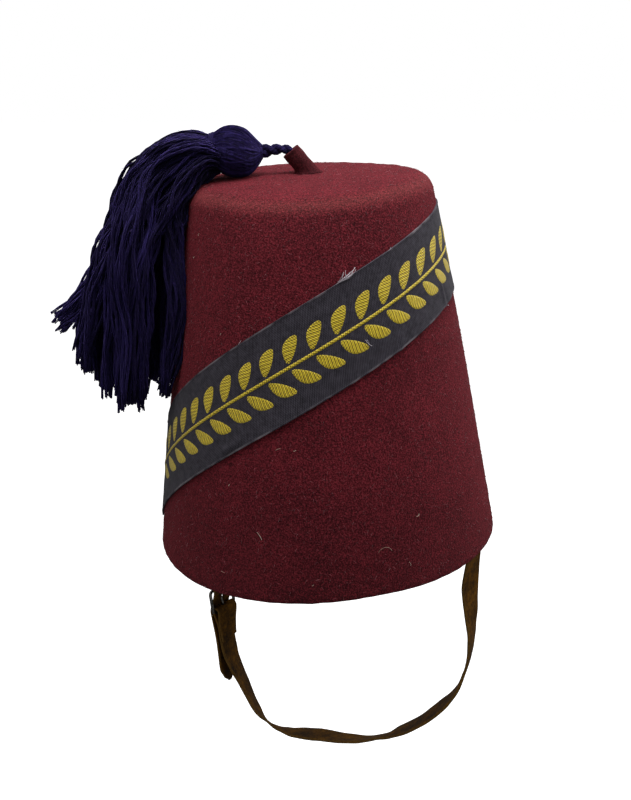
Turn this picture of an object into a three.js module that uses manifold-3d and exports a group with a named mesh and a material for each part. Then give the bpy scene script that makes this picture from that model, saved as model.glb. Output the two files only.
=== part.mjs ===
// Felt fez: tapered hollow crown, diagonal sash, leather chin strap with a buckle, stalk, cord and tassel.
// Millimetres, +Z up. Origin at the middle of the rim opening; the chin strap hangs in the XZ plane.
import * as THREE from "three";
import { mergeVertices } from "three/addons/utils/BufferGeometryUtils.js";
import manifoldModule from "manifold-3d";

const wasm = await manifoldModule();
wasm.setup();

const clearance = 0.3;

// Crown
const feltThickness = 2.5;
const rimRadius = 92;
const topRadius = 61;
const crownHeight = 193;
const cornerRadius = 11;
const sideBulge = 0.8;
const topDome = 2;
const crownFacets = 72;
const wallSteps = 7;
const cornerSteps = 5;
const domeSteps = 3;

// Sash
const ribbonWidth = 44;
const ribbonThickness = 1;
const ribbonGap = 0.35;
const ribbonHigh = 156.5;
const ribbonDrop = 118.5;
const ribbonSweep = 1.8;
const ribbonTurn = 30;

// Chin strap
const strapWidth = 15;
const strapThickness = 1.3;
const strapWallGap = 0.7;
const strapSewn = 30;
const strapPitch = strapThickness + clearance;
const sectionsPerRow = 4;
const twistTension = 0.2;

// Buckle
const wireRadius = 1;
const wireSides = 10;
const heelBar = { x: -76, z: -70 };
const frontBar = { x: -77.4, z: -56.2 };
const frameHalfWidth = 9;
const frameCorner = 2.1;
const frameCornerSteps = 5;
const foldSteps = 8;
const foldRadius = 2.55;
const foldSetIn = 0.6;
const prongRadius = 0.7;
const prongRing = { inner: 1.3, outer: 1.9, width: 3, curveSegments: 8 };
const prongPin = { steps: 10, curveSegments: 4 };
const prongOverlap = 2;
const foldSlot = { width: 4.2, below: 3.4, above: 5, outside: 3.9, inside: 1.2 };
const billetHole = { width: 2.4, length: 6.4, through: 5.2, z: -62.8 };
const turnedLength = 11.5;

// The straps turn towards the front at the buckle: the angle about an upright line, eased in between heights
const buckleTurn = { angle: -11, x: -76.5, lowNone: -96, lowFull: -72, highFull: -50, highNone: -14 };

// Stalk, cord and tassel, drawn leaning towards +X and then turned to the tassel's side
const tasselTurn = 210;
const stalkLength = 14.3;
const stalkLean = 36.9;
const stalkBaseRadius = 4.9;
const stalkTipRadius = 4.8;
const stalkBoreRadius = 2.5;
const stalkBoreDepth = 7;
const stalkBuried = 5;
const stalkSides = 20;
const stalkCut = { width: 40, depth: 20 };
const cordRadius = 1.35;
const cordLobe = 0.3;
const cordGrowth = 0.65;
const cordTwists = 1.5;
const cordSections = 24;
const cordSides = 12;
const headFlattening = 1.08;
const headSides = 20;
const lockRoot = { x: 47.5, z: 207.5 };
const lockSections = 10;
const lockSides = 8;
const lockBreadth = 1.15;
const lockRootSpread = 0.22;
const lockCrestSpread = 0.6;
const lockRootGirth = 0.6;
const lockTipGirth = 0.5;
const lockSwellEnd = 0.3;
const lockThinStart = 0.6;
const lockRagged = { height: 3, byLayer: 2.4, byPlace: 7.2 };

// The strap's way from the sewn end at +X round under the chin to the buckle, with its twist in degrees
const strapRoute = [
  { x: 87, z: -6, twist: 5 },
  { x: 85.4, z: -20, twist: 9 },
  { x: 85.7, z: -34, twist: 3 },
  { x: 86, z: -49, twist: -9 },
  { x: 84.6, z: -63, twist: -12 },
  { x: 80, z: -79.5, twist: -11 },
  { x: 74.5, z: -91, twist: -7 },
  { x: 64, z: -103.5, twist: -9 },
  { x: 50, z: -117, twist: -2 },
  { x: 38.5, z: -125, twist: 5 },
  { x: 29, z: -131, twist: 19 },
  { x: 18, z: -136.3, twist: 19 },
  { x: 4, z: -139.8, twist: 14 },
  { x: -14, z: -142.5, twist: 9 },
  { x: -28.5, z: -145, twist: 14 },
  { x: -38, z: -145.8, twist: 28 },
  { x: -50, z: -143.8, twist: 46 },
  { x: -57.5, z: -136, twist: 30 },
  { x: -66, z: -118.5, twist: 21 },
  { x: -71.5, z: -107, twist: 13 },
  { x: -74.2, z: -97.5, twist: 3 },
  { x: -75.3, z: -89, twist: 0 },
  { x: -75.3, z: -78, twist: 0 },
];

// The billet's way from its sewn end at -X down through the buckle to its pointed tip
const billetRoute = [
  { x: -86.6, z: -10, width: 15 },
  { x: -83.4, z: -26, width: 15 },
  { x: -79.8, z: -42, width: 15 },
  { x: -75.45, z: -56.2, width: 15 },
  { x: -79.7, z: -70, width: 15 },
  { x: -79.4, z: -75, width: 15 },
  { x: -79, z: -80, width: 15 },
  { x: -78.3, z: -89, width: 15 },
  { x: -77.5, z: -99, width: 15 },
  { x: -76.8, z: -109, width: 15 },
  { x: -76.3, z: -116, width: 9.5 },
  { x: -76.2, z: -120, width: 2.5 },
];

const cordRoute = [
  { x: 4.9, z: 201.5 },
  { x: 7.2, z: 204.5 },
  { x: 9.3, z: 206.7 },
  { x: 12.2, z: 207.4 },
  { x: 15.6, z: 207.4 },
  { x: 19, z: 207.1 },
  { x: 22.1, z: 206.9 },
];

const headProfile = [
  { x: 22.6, z: 206.8, radius: 3.2 },
  { x: 24.6, z: 206.4, radius: 5.6 },
  { x: 26.8, z: 206.2, radius: 8.2 },
  { x: 28.8, z: 206.3, radius: 10.2 },
  { x: 31, z: 206.8, radius: 11.9 },
  { x: 33.6, z: 207.2, radius: 12.7 },
  { x: 37.6, z: 207.7, radius: 13.1 },
  { x: 40.8, z: 207.9, radius: 12.3 },
  { x: 43.6, z: 208, radius: 11 },
  { x: 46.2, z: 208, radius: 9.5 },
  { x: 50, z: 207.8, radius: 8.5 },
];

// Layers of the skirt from the outside in: the pull of the crest and of the fall, the tip,
// the fan's half width and the locks' half thickness
const skirtLayers = [
  { locks: 2, crestX: 74, crestZ: 223, fallX: 90, fallZ: 178, tipX: 137, tipZ: 131, spread: 12, girth: 4.8 },
  { locks: 4, crestX: 74, crestZ: 224, fallX: 106, fallZ: 178, tipX: 126, tipZ: 108, spread: 24, girth: 7.5 },
  { locks: 4, crestX: 71, crestZ: 218, fallX: 100, fallZ: 176, tipX: 112, tipZ: 91, spread: 30, girth: 8.6 },
  { locks: 4, crestX: 66, crestZ: 212, fallX: 89, fallZ: 174, tipX: 99, tipZ: 85, spread: 30, girth: 8.6 },
  { locks: 4, crestX: 65, crestZ: 207, fallX: 76.5, fallZ: 178, tipX: 83.5, tipZ: 89, spread: 30, girth: 4.4 },
];

const radians = THREE.MathUtils.degToRad;
const fullTurn = 2 * Math.PI;
const sideways = new THREE.Vector3(0, 1, 0);
const upwards = new THREE.Vector3(0, 0, 1);

function solidOf(geometry) {
  const bare = geometry.clone();
  bare.deleteAttribute("normal");
  bare.deleteAttribute("uv");
  const merged = mergeVertices(bare, 1e-4);
  const mesh = new wasm.Mesh({
    numProp: 3,
    vertProperties: merged.attributes.position.array,
    triVerts: new Uint32Array(merged.index.array),
  });
  return new wasm.Manifold(mesh);
}

function geometryOf(solid) {
  const mesh = solid.getMesh();
  const geometry = new THREE.BufferGeometry();
  geometry.setAttribute("position", new THREE.BufferAttribute(mesh.vertProperties, 3));
  geometry.setIndex(new THREE.BufferAttribute(mesh.triVerts, 1));
  return geometry;
}

// Skin over a row of sections that each run anticlockwise about the way the row goes,
// capped or joined end to end
function loft(sections, joined) {
  const around = sections[0].length;
  const spans = joined ? sections.length : sections.length - 1;
  const index = [];
  for (let row = 0; row < spans; row += 1) {
    const next = (row + 1) % sections.length;
    for (let side = 0; side < around; side += 1) {
      const other = (side + 1) % around;
      index.push(row * around + side, row * around + other, next * around + other);
      index.push(row * around + side, next * around + other, next * around + side);
    }
  }
  const last = (sections.length - 1) * around;
  for (let side = 1; side < around - 1 && !joined; side += 1) {
    index.push(0, side + 1, side);
    index.push(last, last + side, last + side + 1);
  }
  const positions = sections.flat().flatMap((point) => point.toArray());
  const geometry = new THREE.BufferGeometry();
  geometry.setAttribute("position", new THREE.Float32BufferAttribute(positions, 3));
  geometry.setIndex(index);
  return geometry;
}

// Oval section about a centre, from two half axes with the first turned towards the second
function oval(centre, first, second, sides) {
  return Array.from({ length: sides }, (unused, side) => {
    const angle = (fullTurn * side) / sides;
    const point = centre.clone().addScaledVector(first, Math.cos(angle));
    return point.addScaledVector(second, Math.sin(angle));
  });
}

function inPlane(row) {
  return new THREE.Vector3(row.x, 0, row.z);
}

function boxAt(centre, size) {
  return solidOf(new THREE.BoxGeometry(...size).translate(...centre));
}

function piece(name, geometry, material) {
  const mesh = new THREE.Mesh(geometry, material);
  mesh.name = name;
  return mesh;
}

const felt = new THREE.MeshStandardMaterial({ color: 0x5e1a24, roughness: 0.95 });
const ribbonCloth = new THREE.MeshStandardMaterial({ color: 0x3c3b40, roughness: 0.8 });
const leather = new THREE.MeshStandardMaterial({ color: 0x4a3416, roughness: 0.55 });
const steel = new THREE.MeshStandardMaterial({ color: 0x8c8a86, roughness: 0.35, metalness: 1 });
const yarn = new THREE.MeshStandardMaterial({ color: 0x231d48, roughness: 0.85 });

// Crown: radius of the outer wall at a height, its lean, and the shell's half section
function wallRadius(z) {
  const share = z / crownHeight;
  return rimRadius + (topRadius - rimRadius) * share + 4 * sideBulge * share * (1 - share);
}

const wallLean = Math.atan((rimRadius - topRadius) / crownHeight);
const cornerZ = crownHeight - cornerRadius;
const wallTop = cornerZ + cornerRadius * Math.sin(wallLean);
const cornerX = wallRadius(wallTop) - cornerRadius * Math.cos(wallLean);

// One skin of the crown from the rim to the axis, set in from the outer surface
function crownSkin(inset) {
  const skin = [];
  for (let step = 0; step < wallSteps; step += 1) {
    const z = (wallTop * step) / wallSteps;
    skin.push(new THREE.Vector2(wallRadius(z) - inset, z));
  }
  for (let step = 0; step <= cornerSteps; step += 1) {
    const angle = wallLean + ((Math.PI / 2 - wallLean) * step) / cornerSteps;
    const radius = cornerRadius - inset;
    skin.push(new THREE.Vector2(cornerX + radius * Math.cos(angle), cornerZ + radius * Math.sin(angle)));
  }
  for (let step = domeSteps - 1; step >= 0; step -= 1) {
    const share = step / domeSteps;
    skin.push(new THREE.Vector2(cornerX * share, crownHeight - inset + topDome * (1 - share * share)));
  }
  return skin;
}

function crown() {
  const section = [...crownSkin(feltThickness).reverse(), ...crownSkin(0)];
  const shell = new THREE.LatheGeometry(section, crownFacets).rotateX(Math.PI / 2);
  return piece("crown", geometryOf(solidOf(shell)), felt);
}

// Sash: its middle falls from the high side to the low point on both sides by one power of the way round
function ribbonSection(step) {
  const angle = (fullTurn * step) / crownFacets;
  const away = Math.min(angle, fullTurn - angle);
  const share = away / Math.PI;
  const middle = ribbonHigh - ribbonDrop * share ** ribbonSweep;
  const fall = (ribbonDrop * ribbonSweep * share ** (ribbonSweep - 1)) / Math.PI;
  const slope = Math.atan(fall / wallRadius(middle));
  const halfHeight = (ribbonWidth / 2 / Math.cos(slope)) * Math.cos(wallLean);
  const corner = (side, out) => {
    const z = middle + side * halfHeight;
    const radius = wallRadius(z) + ribbonGap + out;
    return new THREE.Vector3(radius * Math.cos(angle), radius * Math.sin(angle), z);
  };
  return [corner(-1, 0), corner(1, 0), corner(1, ribbonThickness), corner(-1, ribbonThickness)];
}

function ribbon() {
  const sections = Array.from({ length: crownFacets }, (unused, step) => ribbonSection(step));
  const mesh = piece("ribbon", loft(sections, true), ribbonCloth);
  mesh.rotation.z = radians(ribbonTurn);
  return mesh;
}

// Flat strap through rows of x, z, twist and width
function strap(rows) {
  const path = new THREE.CatmullRomCurve3(rows.map(inPlane));
  const turns = rows.map((row) => new THREE.Vector3(row.twist ?? 0, row.width ?? strapWidth, 0));
  const turning = new THREE.CatmullRomCurve3(turns, false, "catmullrom", twistTension);
  const count = (rows.length - 1) * sectionsPerRow;
  const sections = Array.from({ length: count + 1 }, (unused, step) => {
    const share = step / count;
    const centre = path.getPoint(share);
    const along = path.getTangent(share);
    const setting = turning.getPoint(share);
    const across = sideways.clone().applyAxisAngle(along, radians(setting.x));
    const through = along.clone().cross(across).multiplyScalar(strapThickness / 2);
    across.multiplyScalar(setting.y / 2);
    const corner = (a, b) => centre.clone().addScaledVector(across, a).addScaledVector(through, b);
    return [corner(-1, -1), corner(1, -1), corner(1, 1), corner(-1, 1)];
  });
  return solidOf(loft(sections, false));
}

// The parts at the buckle turned about its upright line, easing in below it and out above it
function turnedAtBuckle(geometry) {
  const { angle, x, lowNone, lowFull, highFull, highNone } = buckleTurn;
  const places = geometry.attributes.position;
  const point = new THREE.Vector3();
  for (let place = 0; place < places.count; place += 1) {
    point.fromBufferAttribute(places, place);
    const rise = THREE.MathUtils.smoothstep(point.z, lowNone, lowFull);
    const ease = 1 - THREE.MathUtils.smoothstep(point.z, highFull, highNone);
    const share = point.x < 0 ? rise * ease : 0;
    point.x -= x;
    point.applyAxisAngle(upwards, radians(angle) * share);
    places.setXYZ(place, point.x + x, point.y, point.z);
  }
  return geometry;
}

// The sewn end inside the wall, on the +X or the -X side
function sewnEnd(side) {
  const inset = feltThickness + strapWallGap + strapThickness / 2;
  return [strapSewn, strapSewn / 2, 0].map((z) => ({ x: side * (wallRadius(z) - inset), z }));
}

function strapLong() {
  const foldX = heelBar.x + foldSetIn;
  const fold = Array.from({ length: foldSteps + 1 }, (unused, step) => {
    const angle = Math.PI - (Math.PI * step) / foldSteps;
    return { x: foldX + foldRadius * Math.cos(angle), z: heelBar.z + foldRadius * Math.sin(angle) };
  });
  const last = strapRoute[strapRoute.length - 1];
  const turnedEnd = [
    { x: last.x + strapPitch, z: last.z },
    { x: last.x + strapPitch, z: last.z - turnedLength },
  ];
  const body = strap([...sewnEnd(1), ...strapRoute, ...fold, ...turnedEnd]);
  const slotX = heelBar.x + (foldSlot.inside - foldSlot.outside) / 2;
  const slotZ = heelBar.z + (foldSlot.above - foldSlot.below) / 2;
  const slotSize = [foldSlot.inside + foldSlot.outside, foldSlot.width, foldSlot.above + foldSlot.below];
  const cut = body.subtract(boxAt([slotX, 0, slotZ], slotSize));
  return piece("strap_long", turnedAtBuckle(geometryOf(cut)), leather);
}

function strapBillet() {
  const body = strap([...sewnEnd(-1), ...billetRoute]);
  const holeSize = [billetHole.through, billetHole.width, billetHole.length];
  const hole = boxAt([frontBar.x + strapThickness, 0, billetHole.z], holeSize);
  return piece("strap_billet", turnedAtBuckle(geometryOf(body.subtract(hole))), leather);
}

// Wire frame: a rounded rectangle in the leaning plane through its two bars
function buckleFrame() {
  const heel = inPlane(heelBar);
  const up = inPlane(frontBar).sub(heel);
  const height = up.length();
  up.normalize();
  const outline = [];
  const corners = [
    { y: frameHalfWidth - frameCorner, s: height - frameCorner, start: 0 },
    { y: frameCorner - frameHalfWidth, s: height - frameCorner, start: 90 },
    { y: frameCorner - frameHalfWidth, s: frameCorner, start: 180 },
    { y: frameHalfWidth - frameCorner, s: frameCorner, start: 270 },
  ];
  corners.forEach((corner) => {
    for (let step = 0; step <= frameCornerSteps; step += 1) {
      const angle = radians(corner.start + (90 * step) / frameCornerSteps);
      const outwards = sideways.clone().multiplyScalar(Math.cos(angle)).addScaledVector(up, Math.sin(angle));
      const centre = heel.clone().addScaledVector(sideways, corner.y).addScaledVector(up, corner.s);
      outline.push({ centre: centre.addScaledVector(outwards, frameCorner), outwards });
    }
  });
  const through = sideways.clone().cross(up).multiplyScalar(-wireRadius);
  const ring = ({ centre, outwards }) => {
    return oval(centre, outwards.clone().multiplyScalar(wireRadius), through, wireSides);
  };
  return piece("buckle_frame", turnedAtBuckle(loft(outline.map(ring), true)), steel);
}

// Pin with a ring round the lower bar, through the billet's hole and over the upper bar
function buckleProng() {
  const disc = new THREE.Shape().absarc(0, 0, prongRing.outer, 0, fullTurn);
  disc.holes.push(new THREE.Path().absarc(0, 0, prongRing.inner, 0, fullTurn));
  const ring = new THREE.ExtrudeGeometry(disc, {
    depth: prongRing.width,
    bevelEnabled: false,
    curveSegments: prongRing.curveSegments,
  });
  ring.rotateX(Math.PI / 2).translate(heelBar.x, prongRing.width / 2, heelBar.z);
  const rest = wireRadius + clearance + prongRadius;
  const tilt = Math.atan2(frontBar.z - heelBar.z, heelBar.x - frontBar.x);
  const resting = { x: frontBar.x - rest * Math.sin(tilt), z: frontBar.z - rest * Math.cos(tilt) };
  const root = { x: heelBar.x, z: heelBar.z + (prongRing.inner + prongRing.outer) / 2 };
  const tip = { x: resting.x - prongOverlap * Math.cos(tilt), z: resting.z + prongOverlap * Math.sin(tilt) };
  const path = new THREE.CatmullRomCurve3([root, resting, tip].map(inPlane));
  const round = new THREE.Shape().absarc(0, 0, prongRadius, 0, fullTurn);
  const pin = new THREE.ExtrudeGeometry(round, { ...prongPin, extrudePath: path });
  return piece("buckle_prong", turnedAtBuckle(geometryOf(solidOf(ring).add(solidOf(pin)))), steel);
}

// Stalk: a tapered roll with a bore for the cord, leaning over and cut level with the top
function stalk() {
  const top = crownHeight + topDome;
  const section = [
    [0, -stalkBuried],
    [stalkBaseRadius, -stalkBuried],
    [stalkBaseRadius, 0],
    [stalkTipRadius, stalkLength],
    [stalkBoreRadius, stalkLength],
    [stalkBoreRadius, stalkLength - stalkBoreDepth],
    [0, stalkLength - stalkBoreDepth],
  ];
  const points = section.map(([radius, along]) => new THREE.Vector2(radius, along));
  const roll = new THREE.LatheGeometry(points, stalkSides).rotateX(Math.PI / 2).rotateY(radians(stalkLean));
  const body = solidOf(roll.translate(0, 0, top));
  const cutSize = [stalkCut.width, stalkCut.width, stalkCut.depth];
  const below = boxAt([0, 0, top + clearance - stalkCut.depth / 2], cutSize);
  return piece("stalk", geometryOf(body.subtract(below)), felt);
}

// Cord: a two-lobed section that turns as it goes and thickens towards the tassel
function tasselCord() {
  const path = new THREE.CatmullRomCurve3(cordRoute.map(inPlane));
  const sections = Array.from({ length: cordSections + 1 }, (unused, step) => {
    const share = step / cordSections;
    const along = path.getTangentAt(share);
    const up = along.clone().cross(sideways).negate();
    return Array.from({ length: cordSides }, (unusedSide, side) => {
      const angle = (fullTurn * side) / cordSides;
      const ply = cordLobe * Math.cos(2 * (angle - fullTurn * cordTwists * share));
      const radius = (cordRadius + ply) * (1 + cordGrowth * share * share);
      const point = path.getPointAt(share).addScaledVector(sideways, radius * Math.cos(angle));
      return point.addScaledVector(up, -radius * Math.sin(angle));
    });
  });
  return piece("tassel_cord", loft(sections, false), yarn);
}

// The fan lies round the crown: a distance sideways becomes the same distance round the axis
function roundCrown(point) {
  return new THREE.Vector3(point.x, 0, point.z).applyAxisAngle(upwards, point.y / point.x);
}

// One lock: a curve out of the head over its crest and down to its tip, fanned sideways and tapered
function lock(layer, fan) {
  const ragged = lockRagged.height * Math.sin(lockRagged.byLayer * layer.tipX + lockRagged.byPlace * fan);
  const controls = [
    new THREE.Vector3(lockRoot.x, lockRootSpread * layer.spread * fan, lockRoot.z),
    new THREE.Vector3(layer.crestX, lockCrestSpread * layer.spread * fan, layer.crestZ),
    new THREE.Vector3(layer.fallX, layer.spread * fan, layer.fallZ),
    new THREE.Vector3(layer.tipX, layer.spread * fan, layer.tipZ + ragged),
  ];
  const path = new THREE.CubicBezierCurve3(...controls);
  const sections = Array.from({ length: lockSections + 1 }, (unused, step) => {
    const share = step / lockSections;
    const swell = THREE.MathUtils.lerp(lockRootGirth, 1, THREE.MathUtils.smoothstep(share, 0, lockSwellEnd));
    const thin = THREE.MathUtils.lerp(1, lockTipGirth, THREE.MathUtils.smoothstep(share, lockThinStart, 1));
    const girth = layer.girth * swell * thin;
    const along = path.getTangent(share);
    const out = along.clone().cross(sideways).normalize().multiplyScalar(girth);
    const across = out.clone().cross(along).normalize().multiplyScalar(lockBreadth * girth);
    return oval(path.getPoint(share), across, out, lockSides).map(roundCrown);
  });
  return solidOf(loft(sections, false));
}

function tassel() {
  const rings = headProfile.map((row) => {
    const across = new THREE.Vector3(0, headFlattening * row.radius, 0);
    return oval(inPlane(row), across, new THREE.Vector3(0, 0, row.radius), headSides);
  });
  const locks = skirtLayers.flatMap((layer) => {
    const fans = Array.from({ length: layer.locks }, (unused, place) => (2 * place) / (layer.locks - 1) - 1);
    return fans.map((fan) => lock(layer, fan));
  });
  const body = locks.reduce((whole, next) => whole.add(next), solidOf(loft(rings, false)));
  return piece("tassel", geometryOf(body), yarn);
}

const tasselSide = new THREE.Group();
tasselSide.rotation.z = radians(tasselTurn);
tasselSide.add(stalk(), tasselCord(), tassel());

const fez = new THREE.Group();
fez.name = "fez";
fez.add(crown(), ribbon(), strapLong(), strapBillet(), buckleFrame(), buckleProng(), tasselSide);

export default fez;
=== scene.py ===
import bpy
import numpy as np
from mathutils import Matrix, Vector


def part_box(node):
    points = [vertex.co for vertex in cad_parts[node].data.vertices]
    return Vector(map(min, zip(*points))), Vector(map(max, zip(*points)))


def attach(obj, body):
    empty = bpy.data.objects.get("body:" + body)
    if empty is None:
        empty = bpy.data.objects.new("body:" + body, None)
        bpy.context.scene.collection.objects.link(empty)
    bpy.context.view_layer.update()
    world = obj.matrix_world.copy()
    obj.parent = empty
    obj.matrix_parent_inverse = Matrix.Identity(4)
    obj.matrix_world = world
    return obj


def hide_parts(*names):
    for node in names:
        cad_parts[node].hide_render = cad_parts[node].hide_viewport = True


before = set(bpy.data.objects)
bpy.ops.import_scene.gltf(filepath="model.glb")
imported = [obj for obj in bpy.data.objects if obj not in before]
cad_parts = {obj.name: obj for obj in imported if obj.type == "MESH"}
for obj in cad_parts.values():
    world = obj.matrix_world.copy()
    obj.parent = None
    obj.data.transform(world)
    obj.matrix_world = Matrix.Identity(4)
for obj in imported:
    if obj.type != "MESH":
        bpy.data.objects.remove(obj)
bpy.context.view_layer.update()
mm = 0.001
scene = bpy.context.scene
scene.view_settings.view_transform = "Standard"


# Node and material helpers

def linear(hexText):  # sRGB hex to linear RGBA
    value = np.array([int(hexText[i:i + 2], 16) for i in (0, 2, 4)]) / 255
    value = np.where(value <= 0.04045, value / 12.92, ((value + 0.055) / 1.055) ** 2.4)
    return (*value, 1.0)


def fillSockets(tree, node, sockets):  # a node's first output or a given one is linked, another value is set
    for key, value in sockets.items():
        if isinstance(value, bpy.types.Node):
            value = value.outputs[0]
        if isinstance(value, bpy.types.NodeSocket):
            tree.links.new(value, node.inputs[key])
        else:
            node.inputs[key].default_value = value


def addNode(tree, kind, sockets=None, stops=None, **settings):  # stops are a ramp's positions and colours
    node = tree.nodes.new("ShaderNode" + kind)
    for name, value in settings.items():
        setattr(node, name, value)
    fillSockets(tree, node, sockets or {})
    for place, (position, hexText) in enumerate(stops or []):
        elements = node.color_ramp.elements
        element = elements[place] if place < 2 else elements.new(position)
        element.position, element.color = position, linear(hexText)
    return node


def newMaterial(name):  # with its node tree and its Principled surface
    material = bpy.data.materials.new(name)
    material.use_nodes = True
    return material, material.node_tree, material.node_tree.nodes["Principled BSDF"]


def perMetre(sizeMm):  # texture scale that makes one feature of that size on coordinates in metres
    return 1 / (sizeMm * mm)


oneBand = 0.314  # scale of a wave texture with one band per unit of its coordinates


# Mesh helpers

yAxis = np.array([0, 1.0, 0])
hairSide = np.array([0.31, 0.17, 0.9])  # hairs lie every way, and hardly any along this one


def unit(vectors):  # divided by their lengths
    return vectors / np.maximum(np.linalg.norm(vectors, axis=-1, keepdims=True), 1e-9)


def turned(points, degrees):  # about Z
    return points @ np.array(Matrix.Rotation(np.radians(degrees), 3, "Z")).T


def circle(count):  # equal steps of one whole turn
    return np.linspace(0, 2 * np.pi, count, endpoint=False)


def degreesFrom(middle, angle):  # signed degrees from a middle in degrees to an angle in radians, up to 180
    return (np.degrees(angle) - middle + 180) % 360 - 180


def smooth(low, high, value):  # 0 up to low, 1 from high on, 3 s^2 - 2 s^3 between them
    share = np.clip((value - low) / (high - low), 0, 1)
    return share * share * (3 - 2 * share)


def bell(away):  # exp(-away^2)
    return np.exp(-away ** 2)


def lumps(points, size, seed, count=24):
    # sum of sine waves in random directions with wavelengths about the given size, of unit spread
    draw = np.random.default_rng(seed)
    waves = unit(draw.normal(size=(count, 3))) * 2 * np.pi / (size * draw.uniform(0.7, 1.5, (count, 1)))
    return np.sin(points @ waves.T + draw.uniform(0, 2 * np.pi, count)).sum(-1) * np.sqrt(2 / count)


def gridQuads(rows, columns, closedRows=False, closedColumns=False):
    # quads of a grid of points, and the row and column of each corner counted on past a closed seam
    row = np.arange(rows if closedRows else rows - 1)
    column = np.arange(columns if closedColumns else columns - 1)
    row, column = (part.ravel() for part in np.meshgrid(row, column, indexing="ij"))
    cornerRow = np.stack([row, row, row + 1, row + 1], -1)
    cornerColumn = np.stack([column, column + 1, column + 1, column], -1)
    quads = cornerRow % rows * columns + cornerColumn % columns
    return quads, cornerRow, cornerColumn


def addPiece(name, points, quads, material, caps=(), uv=None, marks=None, sharp=50):
    # faces are turned over where the volume they enclose comes out negative
    points = np.asarray(points, float).reshape(-1, 3)
    a, b, c, d = (points[quads[:, side]] for side in range(4))
    inward = (a * (np.cross(b, c) + np.cross(c, d))).sum() < 0
    faces = (quads[:, ::-1] if inward else quads).tolist()
    for cap in caps:
        faces += (cap[:, ::-1] if inward else cap).tolist()
    mesh = bpy.data.meshes.new(name)
    mesh.from_pydata((points * mm).tolist(), [], faces)
    if uv is not None:
        loops = np.zeros((len(mesh.loops), 2), np.float32)
        loops[:quads.size] = (uv[:, ::-1] if inward else uv).reshape(-1, 2)
        mesh.uv_layers.new(name="weave").uv.foreach_set("vector", loops.ravel())
    for mark, values in (marks or {}).items():
        attribute = mesh.attributes.new(mark, "FLOAT", "POINT")
        attribute.data.foreach_set("value", np.ravel(values).astype(np.float32))
    mesh.polygons.foreach_set("use_smooth", np.ones(len(mesh.polygons), bool))
    mesh.set_sharp_from_angle(angle=np.radians(sharp))
    mesh.materials.append(material)
    mesh.validate()
    piece = bpy.data.objects.new(name, mesh)
    scene.collection.objects.link(piece)
    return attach(piece, "root")


def loftPieces(name, rings, material, uvScale=(1, 1), marks=None, sharp=50):
    # rings is bodies x rows x around x 3; every body is a skin over its rings with a flat face on each end,
    # and its uv runs up to uvScale round and along it
    bodies, rows, around = rings.shape[:3]
    quads, row, column = gridQuads(rows, around, closedColumns=True)
    start = (np.arange(bodies) * rows * around)[:, None, None]
    uv = np.stack([column / around * uvScale[0], row / (rows - 1) * uvScale[1]], -1)
    uv = np.broadcast_to(uv, (bodies, *uv.shape)).reshape(-1, 4, 2)
    first = np.arange(around)[::-1] + start[:, 0]
    last = np.arange(around) + (rows - 1) * around + start[:, 0]
    marks = {mark: np.broadcast_to(values, rings.shape[:3]) for mark, values in (marks or {}).items()}
    return addPiece(name, rings, (quads + start).reshape(-1, 4), material, [first, last], uv, marks, sharp)


def tubeRings(paths, radii, sideways, around):
    # centre + radius * (cos a * across + sin a * up), with across the sideways vector squared to the path
    along = unit(np.gradient(paths, axis=1))
    across = unit(sideways - (sideways * along).sum(-1, keepdims=True) * along)
    up = np.cross(along, across)
    angle = circle(around)[:, None]
    ring = np.cos(angle) * across[:, :, None] + np.sin(angle) * up[:, :, None]
    return paths[:, :, None] + np.broadcast_to(radii, paths.shape[:2])[:, :, None, None] * ring


def smoothRoute(rows, perRow, tension=None):
    # Catmull-Rom curve through the rows, centripetal unless a tension is given, with equal steps in each span
    rows = np.asarray(rows, float)
    ends = np.vstack([2 * rows[0] - rows[1], rows, 2 * rows[-1] - rows[-2]])
    p0, p1, p2, p3 = ends[:-3], ends[1:-2], ends[2:-1], ends[3:]
    if tension is None:
        spans = (p1 - p0, p2 - p1, p3 - p2)
        k0, k1, k2 = (np.sqrt(np.linalg.norm(span, axis=1, keepdims=True)) for span in spans)
        m1 = ((p1 - p0) / k0 - (p2 - p0) / (k0 + k1) + (p2 - p1) / k1) * k1
        m2 = ((p2 - p1) / k1 - (p3 - p1) / (k1 + k2) + (p3 - p2) / k2) * k1
    else:
        m1, m2 = tension * (p2 - p0), tension * (p3 - p1)
    t = np.linspace(0, 1, perRow, endpoint=False)[None, :, None]
    p1, p2, m1, m2 = (part[:, None] for part in (p1, p2, m1, m2))
    curve = (2 * t**3 - 3 * t**2 + 1) * p1 + (t**3 - 2 * t**2 + t) * m1
    curve = curve + (3 * t**2 - 2 * t**3) * p2 + (t**3 - t**2) * m2
    return np.vstack([curve.reshape(-1, rows.shape[1]), rows[-1:]])


# Camera, light and floor

view = dict(
    place=(299.24, -518.29, 274.91), turn=30, elevation=16.6, pan=0.26, tilt=-2.02, roll=3.07,
    lens=52.6, sensor=36,
)
studio = dict(aim=(0, 0, 90), fillAbove=0.4, fillBelow=0.1, floorHeight=-420, floorHalf=6000, floorGlow=0.85)
lamps = [  # place in mm round the hat, square side in mm, power in watts
    dict(name="overhead_softbox", place=(80, -100, 890), side=560, power=7.4),
    dict(name="right_softbox", place=(600, 130, 700), side=440, power=1.8),
    dict(name="rim_softbox", place=(420, 520, 380), side=300, power=1.3),
    dict(name="left_softbox", place=(-330, -480, 260), side=420, power=0.3),
]


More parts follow.
